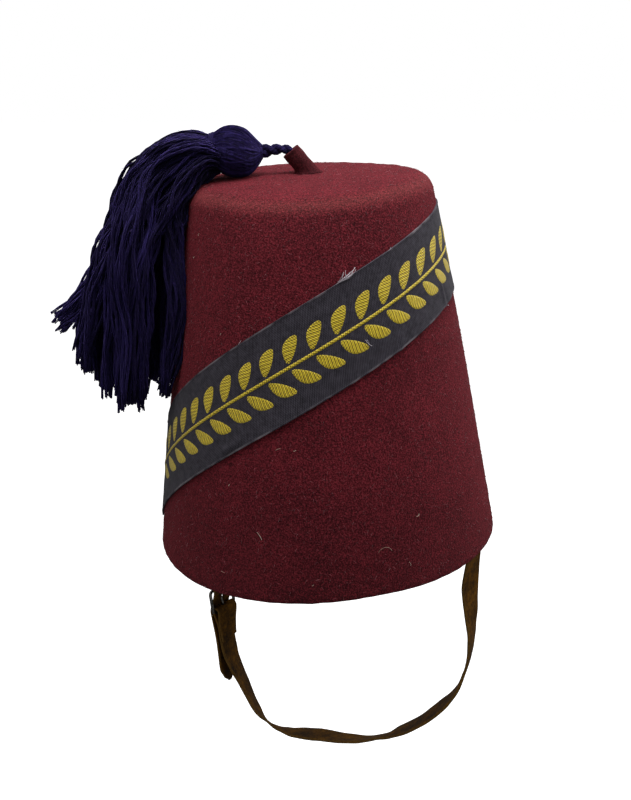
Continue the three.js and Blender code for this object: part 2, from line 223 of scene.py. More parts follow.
def placeCamera():
    # right, up and forward of a level camera at its elevation, then panned, tilted and rolled in its own axes
    rise = np.radians(view["elevation"])
    axes = np.array([[1, 0, 0], [0, np.sin(rise), np.cos(rise)], [0, np.cos(rise), -np.sin(rise)]])
    for turn, axis in (("pan", "Y"), ("tilt", "X"), ("roll", "Z")):
        axes = np.array(Matrix.Rotation(np.radians(view[turn]), 3, axis)) @ axes
    axes = turned(axes, view["turn"])
    axes[2] *= -1
    lens = bpy.data.cameras.new("photo_camera")
    lens.lens, lens.sensor_width = view["lens"], view["sensor"]
    eye = bpy.data.objects.new("photo_camera", lens)
    eye.matrix_world = Matrix.Translation(np.array(view["place"]) * mm) @ Matrix(axes.T.tolist()).to_4x4()
    scene.collection.objects.link(eye)
    scene.camera = eye


def lightStudio():
    # soft grey fill, stronger from above, that the camera sees as a white room, and square lamps
    world = bpy.data.worlds.new("white_studio")
    world.use_nodes = True
    tree = world.node_tree
    way = addNode(tree, "SeparateXYZ", {0: addNode(tree, "TexCoord").outputs["Generated"]}).outputs["Z"]
    rise = addNode(tree, "MapRange", {0: way, 1: -1.0, 3: studio["fillBelow"], 4: studio["fillAbove"]})
    fill = tree.nodes["Background"]
    fillSockets(tree, fill, {"Color": (1, 1, 1, 1), "Strength": rise})
    room = addNode(tree, "Background", {"Color": (1, 1, 1, 1), "Strength": 1.0})
    seen = addNode(tree, "LightPath").outputs["Is Camera Ray"]
    both = addNode(tree, "MixShader", {0: seen, 1: fill, 2: room})
    fillSockets(tree, tree.nodes["World Output"], {"Surface": both})
    scene.world = world
    for lamp in lamps:
        light = bpy.data.lights.new(lamp["name"], "AREA")
        light.size, light.energy = lamp["side"] * mm, lamp["power"]
        holder = bpy.data.objects.new(lamp["name"], light)
        place = Vector(lamp["place"]) * mm
        aim = Vector(studio["aim"]) * mm - place
        holder.matrix_world = Matrix.Translation(place) @ aim.to_track_quat("-Z", "Y").to_matrix().to_4x4()
        scene.collection.objects.link(holder)


def layFloor():
    # painted board, matt, self lit a little so that it stays white like the surroundings
    material, tree, surface = newMaterial("floor_matt_white_paint")
    fillSockets(tree, surface, {
        "Base Color": linear("e8e8e8"), "Roughness": 0.9,
        "Emission Color": (1, 1, 1, 1), "Emission Strength": studio["floorGlow"],
    })
    mesh = bpy.data.meshes.new("floor")
    half, height = studio["floorHalf"] * mm, studio["floorHeight"] * mm
    corners = [(x * half, y * half, height) for x, y in ((-1, -1), (1, -1), (1, 1), (-1, 1))]
    mesh.from_pydata(corners, [], [(0, 1, 2, 3)])
    mesh.materials.append(material)
    floor = bpy.data.objects.new("floor", mesh)
    scene.collection.objects.link(floor)
    floor.visible_diffuse = floor.visible_glossy = False  # its glow stays off the hat


placeCamera()
lightStudio()
layFloor()
print("camera and light placed")


# Crown: pressed wool felt, hollow, with a softly rounded top edge

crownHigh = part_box("crown")[1]
crown = dict(
    rimRadius=crownHigh.x / mm, topRadius=61, felt=2.5, corner=11, bulge=0.8, dome=2, rimRound=0.9,
    # the pale band at the top edge is rubbed nap and a painted highlight; the darkening towards the rim is
    # painted shade
    rimFade=50, sway=0.3, swaySize=110, lumpHeight=0.07, lumpSize=7, wearAndHighlight=0.36, wearAndHighlightReach=4.2, paintedRimShade=0.76,
    around=240, outerSteps=(90, 16, 24), innerSteps=(24, 6, 8), rimSteps=5, poleShare=0.004,
)
crown["height"] = crownHigh.z / mm - crown["dome"]
crownTones = [(0.34, "1e0509"), (0.66, "862a34"), (0.5, "53161e")]
rimDips = [  # places where the rim was cut lower or higher: angle and half angle in degrees, height in mm
    dict(angle=-104, halfAngle=30, height=-2.3),
    dict(angle=-48, halfAngle=14, height=0.8),
]
shoulderWear = dict(angle=-62, halfAngle=46, depth=2.8, reach=13)  # rubbed lower at the front


def wallRadius(z):  # straight taper with a slight belly
    share = z / crown["height"]
    taper = crown["rimRadius"] + (crown["topRadius"] - crown["rimRadius"]) * share
    return taper + 4 * crown["bulge"] * share * (1 - share)


wallLean = np.arctan((crown["rimRadius"] - crown["topRadius"]) / crown["height"])
cornerZ = crown["height"] - crown["corner"]
wallTop = cornerZ + crown["corner"] * np.sin(wallLean)
cornerX = wallRadius(wallTop) - crown["corner"] * np.cos(wallLean)


def crownSkin(inset, steps):  # radius and height up the wall, round the edge and over the dome to the axis
    wall = np.linspace(crown["rimRound"], wallTop, steps[0], endpoint=False)
    bend = np.linspace(wallLean, np.pi / 2, steps[1], endpoint=False)
    share = np.linspace(1, crown["poleShare"], steps[2])
    bendRadius = crown["corner"] - inset
    radius = np.concatenate([wallRadius(wall) - inset, cornerX + bendRadius * np.cos(bend), cornerX * share])
    top = crown["height"] - inset + crown["dome"] * (1 - share**2)
    return np.stack([radius, np.concatenate([wall, cornerZ + bendRadius * np.sin(bend), top])], -1)


def crownProfile():  # inner skin from the axis down, round the rim's edge, outer skin up to the axis
    outer, inner = crownSkin(0, crown["outerSteps"]), crownSkin(crown["felt"], crown["innerSteps"])
    edge, quarter = crown["rimRound"], np.linspace(-np.pi / 2, 0, crown["rimSteps"])
    inward, upward = edge - edge * np.cos(quarter), edge + edge * np.sin(quarter)
    rimOut = np.stack([wallRadius(edge) - inward, upward], -1)[:-1]
    rimIn = np.stack([wallRadius(edge) - crown["felt"] + inward, upward], -1)[-2::-1]
    return np.vstack([inner[::-1], rimIn, rimOut, outer]), len(inner), len(outer)


def feltMaterial(name, tones, paintedRimShade):
    # wool felt, fulled and pressed: matt, grainy, its short nap pale at a grazing angle, a painted highlight
    # over the rubbed nap of the top edge, and painted shade that darkens it towards the rim
    material, tree, surface = newMaterial(name)
    place = addNode(tree, "TexCoord").outputs["Object"]
    # real nap is about 0.1 mm fine; drawn at 0.75 mm so that it shows
    nap = addNode(tree, "TexNoise", {"Vector": place, "Scale": perMetre(0.75), "Detail": 2, "Roughness": 0.7})
    cloud = addNode(tree, "TexNoise", {"Vector": place, "Scale": perMetre(24), "Detail": 3})
    mixed = addNode(tree, "Mix", {0: 0.12, 2: nap, 3: cloud}, data_type="FLOAT")
    ramp = addNode(tree, "ValToRGB", {"Fac": mixed}, stops=tones)
    # pale band at the top edge: rubbed nap, and a painted highlight where the light catches the edge
    wearAndHighlight = addNode(tree, "Attribute", attribute_name="wearAndHighlight").outputs["Fac"]
    rubbed = addNode(tree, "Math", {0: wearAndHighlight, 1: nap}, operation="MULTIPLY")
    tinted = addNode(tree, "Mix", {0: rubbed, 6: ramp, 7: linear("8c4e49")}, data_type="RGBA").outputs[2]
    height = addNode(tree, "SeparateXYZ", {0: place}).outputs["Z"]
    # painted shade: the colour is scaled darker towards the rim, as the light from above falls off there
    paintedShadeScale = addNode(tree, "MapRange", {0: height, 1: -2 * mm, 2: 64 * mm, 3: paintedRimShade, 4: 1.0})
    fine = addNode(tree, "TexNoise", {"Vector": place, "Scale": perMetre(0.7), "Detail": 2, "Roughness": 0.7})
    fillSockets(tree, surface, {
        "Base Color": addNode(tree, "VectorMath", {0: tinted, "Scale": paintedShadeScale}, operation="SCALE"),
        "Roughness": 0.95, "Specular IOR Level": 0.15,
        "Sheen Weight": 0.2, "Sheen Roughness": 0.5, "Sheen Tint": linear("d85460"),
        "Normal": addNode(tree, "Bump", {"Height": fine, "Strength": 1.0, "Distance": 0.6 * mm}),
    })
    return material


def buildCrown():
    # profile of radius and height turned about Z; the surface sways and swells a little along its normal
    profile, innerRows, outerRows = crownProfile()
    slope = unit(np.gradient(profile, axis=0))
    angle = circle(crown["around"])
    ways = np.stack([np.cos(angle), np.sin(angle)], -1)
    shape = (len(profile), len(angle), 1)
    points = np.concatenate([profile[:, :1, None] * ways, np.broadcast_to(profile[:, 1:, None], shape)], -1)
    normals = np.concatenate([slope[:, 1:, None] * ways, np.broadcast_to(-slope[:, :1, None], shape)], -1)
    sway = crown["sway"] * lumps(points, crown["swaySize"], 3)
    sway = sway + crown["lumpHeight"] * lumps(points, crown["lumpSize"], 4)
    side = np.where(np.arange(len(profile)) < innerRows, -1, 1)[:, None]  # both skins sway the same way
    points = points + normals * (sway * side)[..., None]
    for dip in rimDips:
        drop = dip["height"] * bell(degreesFrom(dip["angle"], angle) / dip["halfAngle"])
        points[..., 2] += drop * np.clip(1 - profile[:, 1:] / crown["rimFade"], 0, 1) ** 2
    # the top edge is pushed in along the diagonal at the front, and all round it is paled as rubbed nap and
    # as a painted highlight
    edgeMiddle = np.array([cornerX, cornerZ]) + crown["corner"] * np.sqrt(0.5)
    fromEdge = np.linalg.norm(profile - edgeMiddle, axis=1, keepdims=True)
    front = bell(degreesFrom(shoulderWear["angle"], angle) / shoulderWear["halfAngle"])
    pushed = shoulderWear["depth"] * bell(fromEdge / shoulderWear["reach"]) * front * np.sqrt(0.5)
    points = points - pushed[..., None] * np.concatenate([ways, np.ones((len(angle), 1))], -1)
    wearAndHighlight = np.broadcast_to(crown["wearAndHighlight"] * bell(fromEdge / crown["wearAndHighlightReach"]), points.shape[:2])
    around = np.arange(len(angle))
    caps = [around[None, ::-1], (around + (len(profile) - 1) * len(angle))[None]]
    quads = gridQuads(len(profile), len(angle), closedColumns=True)[0]
    felt = feltMaterial("wool_felt_pressed_maroon", crownTones, crown["paintedRimShade"])
    piece = addPiece("crown_felt", points, quads, felt, caps, marks={"wearAndHighlight": wearAndHighlight})
    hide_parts("crown")
    return points[-outerRows:]


feltGrid = buildCrown()
print("crown made")


# Sash: one closed diagonal ribbon with a mitre at its low side

sash = dict(
    width=44, thickness=0.7, gap=0.3, high=156.5, drop=118.5, sweep=1.8, turn=30, around=620,
    puckers=26, puckerHeight=0.45, puckerWidth=(0.03, 0.09), puckerFrom=0.45, innerLift=0.6,
    uneven=0.05, unevenSize=9, selvedge=0.16, beadRise=(0.95, 0.975), beadFall=(0.985, 1.02),
    paleEdge=(0.955, 0.97), faceShare=0.93, faceSteps=13, edgeShares=(0.95, 0.962, 0.975, 0.988, 1.0),
)
sashFolds = [  # a fold's local degrees and across share, half of each, slant in degrees, height in mm
    dict(angle=-28.5, across=-0.66, halfAngle=1.1, halfAcross=0.34, slant=-3.0, height=0.75),
    dict(angle=-26.0, across=-0.7, halfAngle=1.0, halfAcross=0.26, slant=-3.0, height=-0.3),
    dict(angle=-123.5, across=-0.85, halfAngle=3.6, halfAcross=0.08, slant=0.0, height=1.3),
    dict(angle=-57.8, across=-0.9, halfAngle=1.0, halfAcross=0.3, slant=3.0, height=0.6),
    dict(angle=-77.5, across=-0.95, halfAngle=1.0, halfAcross=0.2, slant=3.0, height=0.4),
    dict(angle=-88, across=0.62, halfAngle=5.0, halfAcross=0.07, slant=0.0, height=0.35),
]


def sashMiddle(angle):  # height and slope of the middle line; the angle is 0 at the top, pi at the mitre
    share = np.abs(angle) / np.pi
    middle = sash["high"] - sash["drop"] * share ** sash["sweep"]
    fall = -np.sign(angle) * sash["drop"] * sash["sweep"] * share ** (sash["sweep"] - 1) / np.pi
    return middle, np.arctan2(fall, wallRadius(middle))


def sashLift(angle, across):  # height off the flat ribbon: puckers along both edges and a few folds
    draw = np.random.default_rng(21)
    count = sash["puckers"]
    places, widths = draw.uniform(-np.pi, np.pi, count), draw.uniform(*sash["puckerWidth"], count)
    sides, heights = draw.choice([-1, 1], count), sash["puckerHeight"] * draw.uniform(0.2, 1, count)
    lift = np.zeros(np.broadcast(angle, across).shape)
    for place, width, side, height in zip(places, widths, sides, heights):
        lift += height * bell((angle - place) / width) * smooth(sash["puckerFrom"], 1, side * across)
    for fold in sashFolds:
        middle = np.radians(fold["angle"] + fold["slant"] * (across - fold["across"]))
        ridge = bell((angle - middle) / np.radians(fold["halfAngle"]))
        lift += fold["height"] * ridge * bell((across - fold["across"]) / fold["halfAcross"])
    return lift


def sashUneven(points):  # slow unevenness of the cloth in mm
    return sash["uneven"] * lumps(points, sash["unevenSize"], 23)


def sashPoint(angle, across, out):  # at a share of the half width from the middle line, so far off the crown
    middle, slope = sashMiddle(angle)
    z = middle + across * sash["width"] / 2 / np.cos(slope) * np.cos(wallLean)
    radius = wallRadius(z) + sash["gap"] + out
    return np.stack([radius * np.cos(angle), radius * np.sin(angle), z + 0 * radius], -1)


def ribbonMaterial():
    # ribbed silk and cotton ribbon, woven with a firm selvedge: dull charcoal with fine cross ribs
    material, tree, surface = newMaterial("ribbed_ribbon_woven_charcoal")
    weave = addNode(tree, "UVMap", uv_map="weave")
    place = addNode(tree, "TexCoord").outputs["Object"]
    # real ribs are 0.4 mm apart; drawn at 0.9 mm so that they show
    ribs = addNode(tree, "TexWave", {"Vector": weave, "Scale": oneBand / 0.9, "Distortion": 1.2, "Detail": 2},
                   bands_direction="X").outputs["Fac"]
    threads = addNode(tree, "TexWave", {"Vector": weave, "Scale": oneBand / 0.7, "Distortion": 1.0},
                      bands_direction="Y").outputs["Fac"]
    cloth = addNode(tree, "Mix", {0: 0.5, 2: ribs, 3: threads}, data_type="FLOAT")
    cloud = addNode(tree, "TexNoise", {"Vector": place, "Scale": perMetre(3), "Detail": 5, "Roughness": 0.75})
    tone = addNode(tree, "Mix", {0: 0.6, 2: cloth, 3: cloud}, data_type="FLOAT")
    ramp = addNode(tree, "ValToRGB", {"Fac": tone}, stops=[(0.32, "141218"), (0.68, "47434c")])
    edge = addNode(tree, "Attribute", attribute_name="edge").outputs["Fac"]
    broken = addNode(tree, "TexNoise", {"Vector": place, "Scale": perMetre(9), "Detail": 2})
    worn = addNode(tree, "MapRange", {0: broken, 1: 0.45, 2: 0.7})
    pale = addNode(tree, "Math", {0: edge, 1: worn}, operation="MULTIPLY")
    colour = addNode(tree, "Mix", {0: pale, 6: ramp, 7: linear("6c666b")}, data_type="RGBA").outputs[2]
    fillSockets(tree, surface, {
        "Base Color": colour, "Roughness": 0.9, "Specular IOR Level": 0.2, "Sheen Weight": 0.05,
        "Normal": addNode(tree, "Bump", {"Height": cloth, "Strength": 0.5, "Distance": 0.15 * mm}),
    })
    return material


def buildSash():
    # outer and inner faces over angle and across share, joined round both edges
    angle = np.linspace(-np.pi, np.pi, sash["around"], endpoint=False)[:, None]
    half = np.concatenate([np.linspace(0, sash["faceShare"], sash["faceSteps"]), sash["edgeShares"]])
    across = np.concatenate([-half[:0:-1], half])[None]
    back = across[:, ::-1]
    bead = smooth(*sash["beadRise"], np.abs(across)) * (1 - smooth(*sash["beadFall"], np.abs(across)))
    face = sash["thickness"] + sash["selvedge"] * bead + sashUneven(sashPoint(angle, across, 0))
    outer = sashPoint(angle, across, face + sashLift(angle, across))
    inner = sashPoint(angle, back, sash["innerLift"] * sashLift(angle, back))
    points = turned(np.concatenate([outer, inner], 1), sash["turn"])
    quads, row, column = gridQuads(*points.shape[:2], closedRows=True, closedColumns=True)
    middle, slope = sashMiddle(angle[:, 0])
    step = wallRadius(middle) / np.cos(slope) * 2 * np.pi / sash["around"]
    along = np.concatenate([[0], np.cumsum(step)])
    shares = np.concatenate([across[0], back[0]])
    uv = np.stack([along[row], (shares * sash["width"] / 2)[column % len(shares)]], -1)
    edge = np.broadcast_to(smooth(*sash["paleEdge"], np.abs(shares)), points.shape[:2])
    piece = addPiece("sash_ribbon", points, quads, ribbonMaterial(), uv=uv, marks={"edge": edge})
    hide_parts("ribbon")
    print("sash made,", round(along[-1]), "mm of ribbon")


buildSash()


# Ornament on the sash: two gold laurel branches that rise from the mitre to the high side

laurel = dict(
    pitch=13.2, start=16, stop=8, leafLength=15.5, leafWidth=6.6, leafTurn=44, leafBend=0.09, rootAcross=1.4,
    height=0.3, sunk=0.12, vein=0.5, veinShare=0.2, tipShare=0.012, alongSteps=22, aroundSteps=14,
    stemStart=5, stemStop=12, stemWidth=1.5, stemHeight=0.28, stemSunk=0.25, stemSteps=260, stemSides=8,
    wayPoints=2000,
)


def goldMaterial():
    # gilt cotton embroidery in satin stitch: dull yellow, each thread catching the light along its side
    material, tree, surface = newMaterial("gilt_thread_satin_stitch")
    weave = addNode(tree, "UVMap", uv_map="weave")
    place = addNode(tree, "TexCoord").outputs["Object"]
    # real threads lie 0.35 mm apart; drawn at 1.1 mm so that they show, stepped like a twill
    waves = []
    for perMm in ((1 / 1.6, 1 / 1.1, 0), (1 / 1.1, -1 / 1.9, 0)):
        slant = addNode(tree, "VectorMath", {0: weave, 1: perMm}, operation="DOT_PRODUCT").outputs["Value"]
        wave = addNode(tree, "TexWave", {"Vector": slant, "Scale": oneBand, "Distortion": 0.4})
        waves.append(wave.outputs["Fac"])
    cloth = addNode(tree, "Mix", {0: 0.45, 2: waves[0], 3: waves[1]}, data_type="FLOAT")
    cloud = addNode(tree, "TexNoise", {"Vector": place, "Scale": perMetre(1.6), "Detail": 3})
    tone = addNode(tree, "Mix", {0: 0.35, 2: cloth, 3: cloud}, data_type="FLOAT")
    stops = [(0.2, "645406"), (0.8, "e6d234"), (0.5, "c0a416")]
    fillSockets(tree, surface, {
        "Base Color": addNode(tree, "ValToRGB", {"Fac": tone}, stops=stops),
        "Roughness": 0.5, "Sheen Weight": 0.1,
        "Normal": addNode(tree, "Bump", {"Height": cloth, "Strength": 0.8, "Distance": 0.25 * mm}),
    })
    return material


def onSash(angle, along, across, out):
    # point so many mm along and across the ribbon from its middle line at an angle, so far above its face
    middle, slope = sashMiddle(angle)
    x = along * np.cos(slope) - across * np.sin(slope)
    z = middle + (along * np.sin(slope) + across * np.cos(slope)) * np.cos(wallLean)
    turn = angle + x / wallRadius(z)
    there, lean = sashMiddle(turn)
    share = (z - there) / (sash["width"] / 2 / np.cos(lean) * np.cos(wallLean))
    flat = wallRadius(z) + sash["gap"]
    uneven = sashUneven(np.stack([flat * np.cos(turn), flat * np.sin(turn), z], -1))
    radius = flat + sash["thickness"] + out + sashLift(turn, share) + uneven
    return np.stack([radius * np.cos(turn), radius * np.sin(turn), z], -1)


def leafRings(nodes, branch, side):
    # leaf outline width * sin(pi p) ** 0.75 about a bent axis, domed, with a groove along the vein
    p = np.linspace(laurel["tipShare"], 1 - laurel["tipShare"], laurel["alongSteps"])[None, :, None]
    q = circle(laurel["aroundSteps"])[None, None]
    arch, length, turn = np.sin(np.pi * p), laurel["leafLength"], side * np.radians(laurel["leafTurn"])
    aside = np.cos(q) * (laurel["leafWidth"] / 2 * arch ** 0.75) + side * laurel["leafBend"] * arch * length
    along = p * length * np.cos(turn) - aside * np.sin(turn)
    across = side * laurel["rootAcross"] + p * length * np.sin(turn) + aside * np.cos(turn)
    dome = np.clip(np.sin(q), 0, 1) ** 0.6
    groove = 1 - laurel["vein"] * bell(np.cos(q) / laurel["veinShare"])
    out = laurel["height"] * dome * groove * arch ** 0.4 - laurel["sunk"]
    return onSash(branch * nodes[:, None, None], -branch * along, across, out)


def buildLaurel():
    # leaf pairs at equal steps of ribbon length on both branches, and a stem through them
    away = np.linspace(0, np.pi, laurel["wayPoints"])
    middle, slope = sashMiddle(away)
    steps = wallRadius(middle) / np.cos(slope) * np.pi / (laurel["wayPoints"] - 1)
    length = np.concatenate([[0], np.cumsum(steps)[:-1]])
    places = np.arange(length[-1] - laurel["start"], laurel["stop"], -laurel["pitch"])
    nodes = np.interp(places, length, away)
    leaves = np.concatenate([leafRings(nodes, branch, side) for branch in (-1, 1) for side in (-1, 1)])
    gold = goldMaterial()
    leafSize = (laurel["leafWidth"], laurel["leafLength"])
    loftPieces("sash_laurel_leaves", turned(leaves, sash["turn"]), gold, leafSize)
    places = np.linspace(length[-1] - laurel["stemStart"], laurel["stemStop"], laurel["stemSteps"])
    way = np.interp(places, length, away)[None, :, None]
    q = circle(laurel["stemSides"])
    across = laurel["stemWidth"] / 2 * np.cos(q)
    out = laurel["stemHeight"] * np.maximum(np.sin(q), -laurel["stemSunk"])
    stems = np.concatenate([onSash(branch * way, 0 * q, across, out) for branch in (-1, 1)])
    loftPieces("sash_laurel_stems", turned(stems, sash["turn"]), gold, (3, 240))
    print("laurel made,", len(leaves), "leaves")


buildLaurel()


# Loose fibres: nap that stands off the felt, pale lint caught in it, and threads pulled from the sash

nap = dict(
    fibres=9000, length=(0.8, 2.6), radius=0.09, tipShare=0.6, lift=(3, 24), lay=-70, scatter=55,
    sunk=0.12, clear=2.5, paleness=1.5,
)
lintRows = [  # hat angle in degrees, height and length in mm, heading and bend in degrees
    (-83.6, 34.2, 4.6, -50, -60), (-44.6, 20.7, 10, 8, -150), (-94.2, 54.7, 1.0, 60, 0),
    (-118, 172, 1.2, 70, 20), (-121.3, 160.8, 1.0, 40, 0), (-99.8, 127.4, 0.9, 80, 0), (-66, 9, 1.6, 30, 60),
    (-34, 12, 2.2, 100, 40), (-30, 36, 2.0, 20, 80), (-62, 150, 1.8, 120, 50),
]
threadRows = [  # local angle in degrees, mm across the ribbon, length in mm, heading and bend in degrees
    (-73.9, 21.9, 5, 12, 18), (-73.1, 22.0, 6, 6, 30), (-72.7, 21.9, 4, 30, -50), (-72.1, 21.8, 5.5, 16, 14),
    (-71.5, 22.0, 3.5, 50, -40), (-70.9, 21.9, 5, 8, 24), (-70.1, 21.8, 6, 22, 26),
    (-69.7, 22.0, 3.2, 70, -60), (-69.1, 21.9, 4.4, 14, 30), (-68.3, 21.9, 4, 28, -30),
    (-74.6, 21.8, 7, 10, 12), (-73.5, 22.3, 6.5, 3, -16),
    (-72.4, 22.4, 6, -6, 24), (-71.8, 22.1, 7, 9, -12), (-71.1, 22.6, 5, 0, 30), (-70.4, 22.3, 5.5, 12, -24),
    (-74.8, -7.2, 4.4, -75, 40), (-74.4, -7.6, 3.2, -105, -50),
    (-31, -21.7, 2.6, -30, 40), (-52, 21.8, 2.4, 24, -30), (-112, 21.7, 2.6, 20, 30), (40, 21.7, 3.4, 20, 30),
    (41, 21.8, 2.6, 40, -40), (100, -21.7, 3, -24, 40), (150, 21.7, 3, 30, 30),
]
looseFibre = dict(
    lintRadius=0.08, lintOff=0.2, lintClear=5, threadRadius=0.09, threadOff=0.1, arch=0.5, steps=10, sides=4,
    strewn=14, strewnHeight=(6, 165), strewnLength=(0.8, 3.2),
)


def fibreMaterial(name, tones):
    # single wool and silk fibres, loose: matt, each with its own shade
    material, tree, surface = newMaterial(name)
    tone = addNode(tree, "Attribute", attribute_name="tone").outputs["Fac"]
    fillSockets(tree, surface, {
        "Base Color": addNode(tree, "ValToRGB", {"Fac": tone}, stops=tones),
        "Roughness": 0.9, "Sheen Weight": 0.2, "Sheen Roughness": 0.5,
    })
    return material


def onFelt(row, column):  # place between the points of the crown's outer skin, closed round its columns
    low, left = np.floor(row).astype(int), np.floor(column).astype(int)
    up, aside = (row - low)[:, None], (column - left)[:, None]
    right = (left + 1) % feltGrid.shape[1]
    lower = (1 - aside) * feltGrid[low, left] + aside * feltGrid[low, right]
    upper = (1 - aside) * feltGrid[low + 1, left] + aside * feltGrid[low + 1, right]
    return (1 - up) * lower + up * upper


def offSash(points, clear):  # whether each point of the wall lies so far above or below the ribbon
    angle = np.arctan2(points[:, 1], points[:, 0]) - np.radians(sash["turn"])
    middle, slope = sashMiddle((angle + np.pi) % (2 * np.pi) - np.pi)
    return np.abs(points[:, 2] - middle) > sash["width"] / 2 / np.cos(slope) + clear


def buildNap():
    # straight hairs from random places on the skin, leaning off it along the way that the felt was brushed
    draw = np.random.default_rng(61)
    count, (rows, columns) = nap["fibres"], feltGrid.shape[:2]
    reach = np.linalg.norm(feltGrid[:, :, :2], axis=-1).mean(1)
    step = np.linalg.norm(np.diff(feltGrid[:, 0], axis=0), axis=1)
    area = np.concatenate([[0], np.cumsum((reach[1:] + reach[:-1]) / 2 * step)])
    row = np.clip(np.interp(draw.uniform(0, area[-1], count), area, np.arange(rows)), 0.5, rows - 2)
    column = draw.uniform(0, columns, count) % (columns - 1e-6)
    base = onFelt(row, column)
    upward = unit(onFelt(row + 0.4, column) - onFelt(row - 0.4, column))
    around = unit(np.cross([0, 0, 1.0], base))
    normal = np.cross(around, upward)
    heading = np.radians(draw.normal(nap["lay"], nap["scatter"], (count, 1)))
    lift = np.radians(draw.uniform(*nap["lift"], (count, 1)))
    way = np.cos(lift) * (np.cos(heading) * around + np.sin(heading) * upward) + np.sin(lift) * normal
    base = base - nap["sunk"] * normal
    tip = base + draw.uniform(*nap["length"], (count, 1)) * way
    tone = draw.uniform(0, 1, count) ** nap["paleness"]
    free = offSash(base, nap["clear"])
    thin = nap["radius"] * np.array([1, nap["tipShare"]])
    rings = tubeRings(np.stack([base, tip], 1)[free], thin, hairSide, 3)
    wool = fibreMaterial("wool_nap_brushed_maroon", [(0.0, "43111a"), (1.0, "a2525c"), (0.8, "7c2a34")])
    piece = loftPieces("crown_nap", rings, wool, marks={"tone": tone[free][:, None, None]}, sharp=180)


def curlPaths(length, heading, bend):  # arcs of so many degrees in the plane of the surface, as x and y in mm
    share = np.linspace(0, 1, looseFibre["steps"])
    angle = np.radians(heading[:, None] + bend[:, None] * (share - 0.5))
    step = length[:, None] / (looseFibre["steps"] - 1)
    return np.cumsum(step * np.cos(angle), 1), np.cumsum(step * np.sin(angle), 1), np.sin(np.pi * share)


def fibrePiece(name, paths, radius, material, draw):  # thin tubes along the paths, each with its own tone
    rings = tubeRings(paths, radius, hairSide, looseFibre["sides"])
    tone = draw.uniform(0, 1, len(paths))[:, None, None]
    return loftPieces(name, rings, material, marks={"tone": tone}, sharp=180)


def buildLooseFibres():
    # curled fibres laid on the wall, some at chosen places and some strewn, and threads laid on the sash
    draw = np.random.default_rng(62)
    count = looseFibre["strewn"]
    ranges = ((-180, 180), looseFibre["strewnHeight"], looseFibre["strewnLength"], (0, 360), (-90, 90))
    strewn = np.stack([draw.uniform(low, high, count) for low, high in ranges], -1)
    rows = np.vstack([np.array(lintRows, float), strewn])
    x, y, arch = curlPaths(*rows[:, 2:].T)
    z = rows[:, 1:2] + y
    radius = wallRadius(z) + looseFibre["lintOff"] + looseFibre["arch"] * arch
    angle = np.radians(rows[:, :1]) + x / radius
    paths = np.stack([radius * np.cos(angle), radius * np.sin(angle), z], -1)
    paths = paths[offSash(paths[:, 0], looseFibre["lintClear"])]
    pale = fibreMaterial("lint_fibre_loose_pale", [(0.0, "a88474"), (1.0, "ecdcc8")])
    fibrePiece("crown_lint", paths, looseFibre["lintRadius"], pale, draw)
    rows = np.array(threadRows, float)
    x, y, arch = curlPaths(*rows[:, 2:].T)
    off = looseFibre["threadOff"] + looseFibre["arch"] * arch
    paths = turned(onSash(np.radians(rows[:, :1]), x, rows[:, 1:2] + y, off), sash["turn"])
    silk = fibreMaterial("silk_thread_pulled_grey", [(0.0, "8a8590"), (1.0, "ddd6dc")])
    fibrePiece("sash_loose_threads", paths, looseFibre["threadRadius"], silk, draw)


buildNap()
buildLooseFibres()
print("loose fibres made")


# Chin strap: brown bridle leather, folded round the buckle's lower bar

strap = dict(
    width=15, thickness=1.3, wallGap=0.7, sewn=30, clearance=0.3, perRow=7, twistTension=0.2,
    swell=(1.05, 1.22), buckleFade=(-98, -86), wallFade=(-8, 0),
    widthWave=0.02, widthWaveSize=22, thickWave=0.06, thickWaveSize=9,
    faceShare=0.82, faceSteps=5, edgeShares=(0.88, 0.92, 0.95, 0.975, 0.992, 1.0), rubbed=(0.86, 0.98),
)
buckle = dict(
    wire=1.0, heel=(-76, -70), front=(-77.4, -56.2), halfWidth=9, corner=2.1, turnedLength=11.5,
    foldRadius=2.55, foldSetIn=0.6, foldSteps=9, slotWidth=4.2, slotBelow=3.4, slotInside=1.2, slotOutside=4,
    holeWidth=2.4, holeLength=6.4, holeZ=-62.8, ringInner=1.3, ringOuter=1.9, ringWidth=3.0, ringSquare=0.4,
    pin=0.7, pinOverlap=2.0, pinTaper=0.35, turn=-11, turnX=-76.5, turnLow=(-96, -72), turnHigh=(-50, -14),
    cornerSteps=8, wireSides=14, pinSteps=16, pinSides=12, ringSteps=32, ringSides=12,
)
strapRoute = [  # x, z in mm and twist in degrees, from the sewn end at +X round under the chin to the buckle
    (87, -6, 5), (85.4, -20, 9), (85.7, -34, 3), (86, -49, -9), (84.6, -63, -12), (80, -79.5, -11),
    (74.5, -91, -7), (64, -103.5, -9), (50, -117, -2), (38.5, -125, 5), (29, -131, 19), (18, -136.3, 19),
    (4, -139.8, 14), (-14, -142.5, 9), (-28.5, -145, 14), (-38, -145.8, 28), (-50, -143.8, 46),
    (-57.5, -136, 30), (-66, -118.5, 21), (-71.5, -107, 13), (-74.2, -97.5, 3),
    (-75.3, -89, 0), (-75.3, -78, 0),
]
billetRoute = [  # x, z and width in mm, from the sewn end at -X through the buckle to the pointed tip
    (-86.6, -10, 15), (-83.4, -26, 15), (-79.8, -42, 15), (-75.45, -56.2, 15), (-79.7, -70, 15),
    (-79.4, -75, 15), (-79, -80, 15), (-78.3, -89, 15), (-77.5, -99, 15), (-76.8, -109, 15),
    (-76.3, -116, 9.5), (-76.2, -120, 2.5),
]


